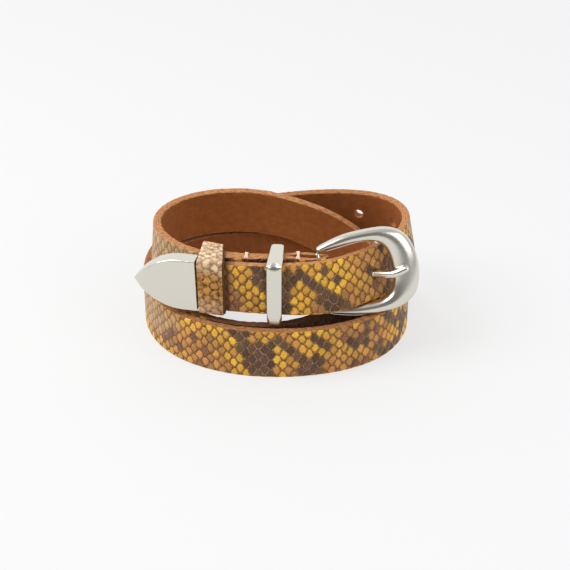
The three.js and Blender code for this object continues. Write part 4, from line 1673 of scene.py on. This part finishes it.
@dataclass
class BuckleFrame:
    """Cast frame: flat behind, domed in front, thin at the bar and wide at the rim, and its bar.

    back is how far its flat back lies behind the bar's axis, rim_start the height of its straight sides,
    back_inset how far they turn in to the back, and fullness the power of the dome's sine. end_round is
    the rounding of the arms' ends. The bar's ends have stub_radius for a length of stub.
    """

    axes: BuckleAxes
    finishes: Finishes
    back: float = 1.2
    rim_start: float = 0.9
    back_inset: float = 0.015
    fullness: float = 0.95
    end_round: float = 1.0
    stub_radius: float = 0.85
    stub: float = 1.3
    dome_steps: int = 26
    steps: int = 10
    crease: float = 60.0

    def build(self) -> bpy.types.Object:
        """The frame and its bar as one casting.

        Returns:
            The frame.
        """
        upper = [list(row) for row in FRAME_HALF]
        lower = [
            [row.inner_along, -row.inner_out, row.outer_along, -row.outer_out, row.rise]
            for row in reversed(FRAME_HALF)
        ]
        controls = np.array(upper + [list(FRAME_RIM)] + lower, dtype=float)
        rows = bspline(controls, np.linspace(0, len(controls) - 1, (len(controls) - 1) * self.steps + 1))
        share, height = self._section(rows[:, 4:5])
        rounded = self._end_share(rows)[:, None]
        share = 0.5 + (share - 0.5) * rounded
        height = rows[:, 4:5] / 2 + (height - rows[:, 4:5] / 2) * rounded
        along = rows[:, 0:1] + (rows[:, 2:3] - rows[:, 0:1]) * share
        out = rows[:, 1:2] + (rows[:, 3:4] - rows[:, 1:2]) * share
        ring = Shell(self.axes.put(along, out, height - self.back))
        piece = make_object("western_frame", [ring, self._bar()], [self.finishes.nickel])
        piece.data.set_sharp_from_angle(angle=math.radians(self.crease))
        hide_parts("buckle_frame")
        return piece

    def _section(self, tall: np.ndarray) -> tuple[np.ndarray, np.ndarray]:
        """Each cut's section from its outer side over the dome to its inner side: low straight sides
        that turn in to the flat back, and between them a half ellipse that is filled out.

        Args:
            tall: the dome's height at each cut.

        Returns:
            Shares of the way from the inner to the outer side, and heights over the back.
        """
        angle = np.linspace(0, math.pi, self.dome_steps + 1)[1:-1]
        inward = self.back_inset * np.array([1.4, 0.5, 0.0])
        share = np.concatenate([1 - inward, (1 + np.cos(angle)) / 2, inward[::-1]])
        side = self.rim_start * np.array([0.0, 0.12, 1.0]) * np.ones_like(tall)
        dome = self.rim_start + (tall - self.rim_start) * np.sin(angle) ** self.fullness
        return share, np.concatenate([side, dome, side[:, ::-1]], axis=1)

    def _bar(self) -> Shell:
        """The bar, thinner at its two ends, where it goes into the arms.

        Returns:
            The rod.
        """
        radius = self.axes.bar_radius
        half = (self.axes.bar_length - radius) / 2
        stops = np.array([-half, -half + self.stub, -half + 1.5 * self.stub])
        stops = np.concatenate([stops, [0.0], -stops[::-1]])
        radii = np.array([self.stub_radius, self.stub_radius, radius])
        radii = np.concatenate([radii, [radius], radii[::-1]])
        return tube(self.axes.put(0.0, stops, 0.0), radii, self.axes.front, sides=32)

    def _end_share(self, rows: np.ndarray) -> np.ndarray:
        """Rounds the arms' ends off like a quarter circle.

        Args:
            rows: the cuts, with the inner and the outer side first.

        Returns:
            Share of its full section that each cut keeps.
        """
        middle = (rows[:, 0:2] + rows[:, 2:4]) / 2
        run = np.concatenate([[0], np.cumsum(np.linalg.norm(np.diff(middle, axis=0), axis=1))])
        missing = np.clip(1 - np.minimum(run, run[-1] - run) / self.end_round, 0, 0.9)
        return np.sqrt(1 - missing**2)


@dataclass
class Tongue:
    """Round tongue: a loop on the bar, a shaft through the strap, and a tip on the rim."""

    axes: BuckleAxes
    finishes: Finishes
    loop_radius: ClassVar[float] = 3.0
    loop_wide: ClassVar[float] = 3.0
    clear: ClassVar[float] = 0.35
    crossing: ClassVar[tuple[float, float, float]] = (19.7, -1.5, -2.0)
    loop_steps: ClassVar[int] = 40
    shaft_points: ClassVar[int] = 97
    crease: ClassVar[float] = 60.0

    def shaft(self, grow: float = 0.0, slot: int = 0) -> Shell:
        """The shaft along its row of stations.

        Args:
            grow: how much greater its radius is, for the hole that it needs.
            slot: its material slot.

        Returns:
            The rod.
        """
        controls = np.array([list(row) for row in TONGUE_LINE])
        rows = bspline(controls, np.linspace(0, len(controls) - 1, self.shaft_points))
        centres = self.axes.put(rows[:, 0], rows[:, 1], rows[:, 2])
        return tube(centres, rows[:, 3] + grow, self.axes.up, sides=24, slot=slot)

    def loop(self) -> Shell:
        """The loop: a flat band bent round the bar.

        Returns:
            The ring.
        """
        inner = self.axes.bar_radius + GAP
        rim = outline((self.loop_radius - inner) / 2, self.loop_wide / 2, radius=0.4, steps=3)
        angle = np.linspace(0, 2 * math.pi, self.loop_steps + 1)[:-1, None]
        radius = (inner + self.loop_radius) / 2 + rim[None, :, 0]
        up = np.broadcast_to(TONGUE_LINE[0].up + rim[None, :, 1], (self.loop_steps, len(rim)))
        return Shell(self.axes.put(radius * np.cos(angle), up, radius * np.sin(angle)), ring=True)

    def build(self) -> bpy.types.Object:
        """The loop and the shaft as one casting.

        Returns:
            The tongue.
        """
        piece = make_object("round_tongue", [self.loop(), self.shaft()], [self.finishes.nickel])
        piece.data.set_sharp_from_angle(angle=math.radians(self.crease))
        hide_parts("buckle_tongue")
        return piece


@dataclass
class Hollow:
    """A keeper's opening: how far it reaches ahead and behind the strap's place, and its half height."""

    ahead: float
    behind: float
    half: float

    def grown(self, wall: float) -> Hollow:
        """The same opening pushed out by a wall."""
        return Hollow(self.ahead + wall, self.behind + wall, self.half + wall)

    def loop(
        self, front: Frames, back: Frames, corners: Sequence[float | np.ndarray], steps: int
    ) -> np.ndarray:
        """Points round the opening for each place, anticlockwise about the strap's direction.

        Args:
            front: places that its front follows.
            back: places that its back follows.
            corners: radii at the lower front, upper front, upper back and lower back, each a
                number or one number for each place.
            steps: steps round each corner.

        Returns:
            An array of places by points by three.
        """
        around = (
            (front, self.ahead, -1, 1),
            (front, self.ahead, 1, 1),
            (back, -self.behind, 1, -1),
            (back, -self.behind, -1, -1),
        )
        parts = []
        for turn, ((place, out, upward, outward), corner) in enumerate(zip(around, corners)):
            angle = np.radians(np.linspace(0, 90, steps + 1) + 90 * (turn - 1))
            radius = np.broadcast_to(corner, len(place.mid))[:, None]
            o = out - outward * radius + radius * np.cos(angle)
            u = upward * (self.half - radius) + radius * np.sin(angle)
            parts.append(place.put(o, u))
        return np.concatenate(parts, axis=1)


def wrapped_band(inner: np.ndarray, outer: np.ndarray, level: np.ndarray) -> np.ndarray:
    """A loop's skin: each section lies between the inner and the outer loop.

    Args:
        inner: inner loops, one for each point of the section.
        outer: outer loops of the same shape.
        level: each section point's share of the wall, from -1 inside to 1 outside.

    Returns:
        Points of the loop by points of the section by three.
    """
    share = (1 + level)[:, None, None] / 2
    return np.swapaxes(inner + (outer - inner) * share, 0, 1)


@dataclass
class MetalKeeper:
    """Cast keeper: a rigid flat loop, with a wide round bend at its upper front, and narrower at its top
    and bottom.

    inner_round holds the radii of its opening's bends, in the order of Hollow.loop, and outer_round those
    of its outside without the upper front. That one has the radius bend, less bend_fall at both edges.
    """

    finishes: Finishes
    wide: float = 5.5
    wall: float = 1.5
    across: float = 14.3
    tall: float = 21.6
    lower_end: float = 3.2
    upper_end: float = 1.0
    fullness: float = 0.9
    bend: float = 2.9
    bend_fall: float = 1.7
    back_share: float = 0.8
    inner_round: tuple[float, float, float, float] = (0.8, 1.3, 0.8, 0.8)
    outer_round: tuple[float, float, float] = (0.6, 0.9, 1.2)
    edge_round: float = 0.5
    section_step: float = 0.4
    bend_steps: int = 10
    crease: float = 32.0
    place: tuple[float, float, float] = (-3.3, -20.9, 32.35)
    yaw: float = -4.2
    lean: float = 1.0

    def half_width(self, out: np.ndarray, up: np.ndarray) -> np.ndarray:
        """Half width of the band: less behind than in front, and rounded off at its two ends.

        Args:
            out: distances outwards from the keeper's middle.
            up: heights over its middle, of the same shape.

        Returns:
            Half widths of the same shape.
        """
        reach = self.tall / 2 + self.wall
        ends = np.maximum(1 - (reach + up) / self.lower_end, 1 - (reach - up) / self.upper_end)
        missing = np.clip(ends, 0, 1)
        share = 1 + (1 - self.back_share) * out / self.across
        full = self.wide / 2
        return np.minimum(full, share * full * np.sqrt(1 - self.fullness * missing**2))

    def build(self) -> bpy.types.Object:
        """The keeper: its loop is drawn flat, narrowed, and then set on its own axes.

        Returns:
            The keeper.
        """
        yaw, lean = math.radians(self.yaw), math.radians(self.lean)
        along = np.array([-math.cos(yaw), -math.sin(yaw), 0.0])
        level = np.array([math.sin(yaw), -math.cos(yaw), 0.0])
        up = np.array([0.0, 0.0, math.cos(lean)]) - level * math.sin(lean)
        rim = self._rim()
        count = len(rim)
        flat = [np.tile(axis, (count, 1)) for axis in np.eye(3)]
        plan = Frames(np.zeros((count, 3)), flat[2], flat[1], flat[0], np.ones(count), np.ones(count))
        hollow = Hollow(self.across / 2, self.across / 2, self.tall / 2)
        aside = np.clip(np.abs(rim[:, 0]) / (self.wide / 2), 0, 1)
        lower_front, *behind = self.outer_round
        corners = [lower_front, self.bend - self.bend_fall * aside**2, *behind]
        inner = hollow.loop(plan, plan, self.inner_round, self.bend_steps)
        outer = hollow.grown(self.wall).loop(plan, plan, corners, self.bend_steps)
        skin = LeatherKeeper.fine(wrapped_band(inner, outer, rim[:, 1] / (self.wall / 2)))
        out, height = skin[..., 0], skin[..., 1]
        shift = rim[:, 0] / (self.wide / 2) * self.half_width(out, height)
        axes = np.stack([np.cross(up, along), up, along])
        skin = np.array(self.place) + np.stack([out, height, shift], axis=-1) @ axes
        piece = make_object("cast_keeper", [Shell(skin, ring=True)], [self.finishes.nickel])
        piece.data.set_sharp_from_angle(angle=math.radians(self.crease))
        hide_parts("metal_keeper")
        return piece

    def _rim(self) -> np.ndarray:
        """The band's section with its straight sides cut into short steps.

        Returns:
            One row of x and y for each point.
        """
        rim = outline(self.wide / 2, self.wall / 2, self.edge_round, steps=4)
        closed = np.concatenate([rim, rim[:1]])
        run = np.concatenate([[0], np.cumsum(np.linalg.norm(np.diff(closed, axis=0), axis=1))])
        stops = np.union1d(run, steps_between(0.0, run[-1], self.section_step))[:-1]
        return np.stack([np.interp(stops, run, closed[:, k]) for k in (0, 1)], axis=1)


@dataclass
class LeatherKeeper:
    """Sewn keeper: a strip of the pale print round the tail in front and the doubled strap behind.

    Its cut edge towards the buckle is slanted: from slant_high of the wall's height down it goes out by
    slant for a whole wall, so that a line of raw hide shows beside the print.
    """

    path: StrapPath
    finishes: Finishes
    wide: float = 8.8
    wall: float = 1.3
    over_tip: float = 0.75
    inner_round: float = 0.3
    outer_round: float = 1.6
    edge_round: float = 0.45
    bend_steps: int = 6
    # Darkens all of the keeper's cut edges: partly burnished hide, partly painted shade for the slanted
    # edge towards the buckle, which stands in shadow.
    soil: float = 0.9
    slant: float = 1.2
    slant_high: float = 0.6
    print_start: float = 31.0
    print_wrap: float = 0.2
    crease: float = 60.0
    behind: tuple[float, float, float] = (-24.0, -17.4, 33.0)

    def build(self) -> bpy.types.Object:
        """The keeper, hugging both layers.

        Returns:
            The keeper.
        """
        rim = outline(self.wide / 2, self.wall / 2, self.edge_round, steps=4)
        rim[:, 0] -= np.where(rim[:, 0] < 0, self.slant * (self.slant_high - rim[:, 1] / self.wall), 0)
        front_start = self.path.length - MetalTip.length - self.over_tip - self.wide
        back_start = self.path.nearest(np.array(self.behind), PAST_FOLD)
        shift = rim[:, 0] + self.wide / 2
        front = self.path.at_lengths(front_start + shift)
        back = self.path.at_lengths(back_start + shift)
        hollow = Hollow(
            ahead=self.path.thick / 2 + GAP,
            behind=self.path.thick / 2 + self.path.fold_thick + 3 * GAP,
            half=self.path.width / 2 + 1.5 * GAP,
        )
        inner = hollow.loop(front, back, [self.inner_round] * 4, self.bend_steps)
        outer = hollow.grown(self.wall).loop(front, back, [self.outer_round] * 4, self.bend_steps)
        skin = self.fine(wrapped_band(inner, outer, rim[:, 1] / (self.wall / 2)))
        middle = skin.mean(axis=1)
        around = np.concatenate([[0], np.cumsum(np.linalg.norm(np.diff(middle, axis=0), axis=1)), [0]])
        around[-1] = around[-2] + np.linalg.norm(middle[0] - middle[-1])
        across = np.concatenate([rim[:, 0] + rim[:, 1], [rim[0, 0] + rim[0, 1]]])
        uv = np.stack(np.broadcast_arrays(across[None, :] + self.print_start, around[:, None]), axis=-1)
        printed = rim[:, 1] > self.wall * self.print_wrap
        slots = np.where(printed & np.roll(printed, -1), 0, 1)
        soil = {"soil": np.full(skin.shape[:2], self.soil)}
        shell = Shell(skin, uv, slots, ring=True, fields=soil)
        piece = make_object("sewn_keeper", [shell], [self.finishes.pale, self.finishes.edge])
        piece.data.set_sharp_from_angle(angle=math.radians(self.crease))
        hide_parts("leather_keeper")
        return piece

    @staticmethod
    def fine(skin: np.ndarray, pieces: int = 6) -> np.ndarray:
        """The same loop with each of its steps cut into equal pieces.

        Args:
            skin: points of the loop by points of the section by three.
            pieces: pieces that each step is cut into.

        Returns:
            The same with more points of the loop.
        """
        after = np.roll(skin, -1, axis=0)
        share = np.arange(pieces)[None, :, None, None] / pieces
        return (skin[:, None] * (1 - share) + after[:, None] * share).reshape(-1, *skin.shape[1:])


@dataclass
class MetalTip:
    """Cast tip: a pointed cap over the strap's end, with bevelled rims, open where the strap goes in.

    Its skin is cut coarsely up to nose from the point, and finely from there to bluntness from it.
    """

    path: StrapPath
    finishes: Finishes
    length: ClassVar[float] = 23.9
    ogive: ClassVar[float] = 19.0
    power: ClassVar[float] = 2.25
    tallest: ClassVar[float] = 10.7
    thick: ClassVar[float] = 5.4
    point_thick: ClassVar[float] = 2.4
    thinning: ClassVar[float] = 5.0
    nose: ClassVar[float] = 3.0
    bluntness: ClassVar[float] = 0.25
    bevel: ClassVar[float] = 0.5
    inner_bevel: ClassVar[float] = 0.35
    edge: ClassVar[float] = 0.6
    solid: ClassVar[float] = 13.4
    crease: ClassVar[float] = 35.0

    @classmethod
    def half_height(cls, distance: np.ndarray) -> np.ndarray:
        """Half height at a distance from the point: the tallest, less a power of what is missing.

        Args:
            distance: distances from the point.

        Returns:
            Half heights of the same shape.
        """
        rest = np.clip(1 - distance / cls.ogive, 0, None)
        return cls.tallest * (1 - rest**cls.power)

    def _rows(
        self, lengths: np.ndarray, half: np.ndarray, depth: np.ndarray, bevel: float
    ) -> np.ndarray:
        """Sections with rounded bevels.

        Args:
            lengths: lengths along the strap.
            half: half height at each.
            depth: half thickness at each.
            bevel: the bevel's radius, which is less where the section is small.

        Returns:
            Points of the sections, by lengths, places round the section and three.
        """
        quarter = np.radians(np.array([0, 20, 45, 70, 90]))
        frames = self.path.at_lengths(lengths)
        parts_out, parts_up = [], []
        b = np.minimum(bevel, np.minimum(half, depth) * 0.8)[:, None]
        w, t = half[:, None], depth[:, None]
        for turn, (so, su) in enumerate(((1, -1), (1, 1), (-1, 1), (-1, -1))):
            a = quarter + math.radians(90 * (turn - 1))
            parts_out.append(so * (t - b) + b * np.cos(a))
            parts_up.append(su * (w - b) + b * np.sin(a))
        return frames.put(np.concatenate(parts_out, axis=1), np.concatenate(parts_up, axis=1))

    def build(self) -> bpy.types.Object:
        """The cap: its hollow from the inside out, then its outer skin to the point.

        Returns:
            The tip.
        """
        total = self.path.length
        start = total - self.length
        inside = steps_between(total - self.solid + GAP, start, step=0.8)
        half_in = np.minimum(self.half_height(total - inside) - self.edge, self.path.width / 2 + GAP)
        depth_in = np.full(len(inside), self.path.thick / 2 + GAP)
        nose, blunt = total - self.nose, total - self.bluntness
        coarse, fine = steps_between(start, nose, step=0.5), steps_between(nose + 0.1, blunt, step=0.15)
        outside = np.concatenate([coarse, fine])
        distance = total - outside
        share = np.clip(distance / self.thinning, 0, 1)
        depth = (self.point_thick + (self.thick - self.point_thick) * np.sin(share * math.pi / 2)) / 2
        hollow = self._rows(inside, half_in, depth_in, self.inner_bevel)
        skin = self._rows(outside, self.half_height(distance), depth, self.bevel)
        piece = make_object("cast_tip", [Shell(np.concatenate([hollow, skin]))], [self.finishes.nickel])
        piece.data.set_sharp_from_angle(angle=math.radians(self.crease))
        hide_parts("metal_tip")
        return piece


@dataclass
class Studio:
    """Lit white sheet, soft light from the upper left, a dark room beyond the camera, and the camera.

    Lengths are in millimetres, but for the sheet and the lamps, which are in metres. surround, wall and
    room are the strengths of the light from the sides, from behind the belt and from the dark room.
    """

    finishes: Finishes
    shift: np.ndarray
    aim_height: float = 20.0
    elevation: float = 30.0
    distance: float = 500.0
    focal_px: float = 1310.0
    frame_px: float = 570.0
    sensor: float = 36.0
    surround: float = 0.62
    wall: float = 1.05
    room: float = 0.2
    floor_half: float = 3.0
    floor_cells: int = 8
    lamp_aim: tuple[float, float, float] = (0.0, 0.0, 0.02)

    def build(self) -> None:
        """Adds the floor, the lights and the camera."""
        self._floor()
        self._lights()
        self._camera()

    def _floor(self) -> None:
        """A large flat sheet under the belt, in metres."""
        stops = np.linspace(-self.floor_half, self.floor_half, self.floor_cells + 1)
        plan = np.stack(np.meshgrid(stops, stops, indexing="ij"), axis=-1).reshape(-1, 2)
        vertices = np.concatenate([plan, np.zeros((len(plan), 1))], axis=1)
        i, k = np.indices((self.floor_cells, self.floor_cells)).reshape(2, -1)
        corner, row = i * len(stops) + k, len(stops)
        quads = np.stack([corner, corner + row, corner + row + 1, corner + 1], axis=1)
        mesh = bpy.data.meshes.new("opal_sheet")
        mesh.from_pydata(vertices.tolist(), [], quads.tolist())
        mesh.materials.append(self.finishes.floor)
        floor = bpy.data.objects.new("opal_sheet", mesh)
        bpy.context.collection.objects.link(floor)

    def _lights(self) -> None:
        """A grey surround with a lighter wall behind and a dark room in front, which the camera sees as
        white, a large soft key at the upper left and a weak fill."""
        sheet = NodeSheet(bpy.data.worlds.new("white_studio"))
        way = sheet.add("TexCoord", out="Generated")
        depth = sheet.add("SeparateXYZ", {0: way}, out=1)
        high = sheet.add("SeparateXYZ", {0: way}, out=2)
        ahead = sheet.add("MapRange", {0: depth, 1: -0.1, 2: -0.45}, **EASED)
        behind = sheet.add("MapRange", {0: depth, 1: 0.1, 2: 0.5}, **EASED)
        over = sheet.add("MapRange", {0: high, 1: -0.02, 2: 0.12}, **EASED)
        under = sheet.add("MapRange", {0: high, 1: 0.93, 2: 0.78}, **EASED)
        band = sheet.add("Math", {0: over, 1: under}, operation="MULTIPLY")
        room = sheet.add("Math", {0: band, 1: ahead}, operation="MULTIPLY")
        seen = sheet.add("LightPath", out="Is Camera Ray")
        room = sheet.add("Math", {0: room, 1: seen}, operation="SUBTRACT", use_clamp=True)
        light = sheet.add("MapRange", {0: behind, 3: self.surround, 4: self.wall})
        light = sheet.add("Math", {0: light, 1: seen}, operation="MAXIMUM")
        light = sheet.add("MapRange", {0: room, 3: light, 4: self.room})
        bpy.context.scene.world = sheet.finish({"Color": (1.0, 1.0, 1.0, 1.0), "Strength": light})
        self._area("key", place=(-0.75, -0.2, 0.85), size=0.7, watts=10.0)
        self._area("fill", place=(0.7, -0.6, 0.6), size=0.8, watts=4.0)

    def _area(self, name: str, place: tuple[float, float, float], size: float, watts: float) -> None:
        """A square area light aimed at the belt.

        Args:
            name: its name.
            place: where it is, in metres.
            size: length of its sides, in metres.
            watts: its power.
        """
        light = bpy.data.lights.new(name, "AREA")
        light.size, light.energy = size, watts
        lamp = bpy.data.objects.new(name, light)
        lamp.location = place
        lamp.rotation_euler = self._aim(np.array(place), np.array(self.lamp_aim))
        bpy.context.collection.objects.link(lamp)

    @staticmethod
    def _aim(place: np.ndarray, target: np.ndarray) -> tuple[float, float, float]:
        """Points an object's -Z axis from one place to another, and keeps it level.

        Args:
            place: where the object is.
            target: what it is aimed at.

        Returns:
            Its turn about X, Y and Z.
        """
        d = target - place
        return (math.atan2(math.hypot(d[0], d[1]), -d[2]), 0.0, math.atan2(-d[0], d[1]))

    def _camera(self) -> None:
        """The camera on a circle about the aim, at the photograph's height over the surface."""
        e = math.radians(self.elevation)
        target = np.array([0.0, 0.0, self.aim_height]) + self.shift
        place = target + self.distance * np.array([0.0, -math.cos(e), math.sin(e)])
        data = bpy.data.cameras.new("camera")
        data.sensor_width = self.sensor
        data.lens = self.focal_px / self.frame_px * self.sensor
        data.clip_start, data.clip_end = 0.01, 20.0
        camera = bpy.data.objects.new("camera", data)
        camera.location = place * MM
        camera.rotation_euler = self._aim(place, target)
        bpy.context.collection.objects.link(camera)
        bpy.context.scene.camera = camera


def centre_shift(path: StrapPath) -> np.ndarray:
    """How far the belt's own frame lies from the millimetre tables, by the plain strap's box.

    Args:
        path: the strap's path as the tables give it.

    Returns:
        The shift in millimetres, level.
    """
    samples = 4000
    frames = path.frames(np.linspace(0, len(path.controls) - 1, samples))
    half = frames.width[:, None] / 2 * np.array([-1, 1])
    spots = frames.put(np.repeat(frames.thick[:, None] / 2, 2, 1), half)
    low = np.array(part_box("strap")[0]) / MM
    return np.array([low[0] - spots[..., 0].min(), low[1] - spots[..., 1].min(), 0.0])


def main() -> None:
    """Loads the frame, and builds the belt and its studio."""
    logging.basicConfig(level=logging.INFO, format="%(name)s: %(message)s")
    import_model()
    axes = BuckleAxes()
    shift = centre_shift(StrapPath(axes))
    finishes = Finishes()
    Studio(finishes, shift).build()
    path = StrapPath(axes)
    pieces = {
        "print_leather": Strap(path, axes, finishes).build(),
        "thread": Stitches(path, finishes).build(),
        "frame": BuckleFrame(axes, finishes).build(),
        "tongue": Tongue(axes, finishes).build(),
        "metal_keeper": MetalKeeper(finishes).build(),
        "leather_keeper": LeatherKeeper(path, finishes).build(),
        "tip": MetalTip(path, finishes).build(),
    }
    for part, piece in pieces.items():
        piece.data.transform(Matrix.Translation(shift * MM))
        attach(piece, "root")
        LOG.info("%s: %s, %d faces", part, piece.name, len(piece.data.polygons))
    bpy.context.scene.view_settings.view_transform = "Standard"


if __name__ == "__main__":
    main()
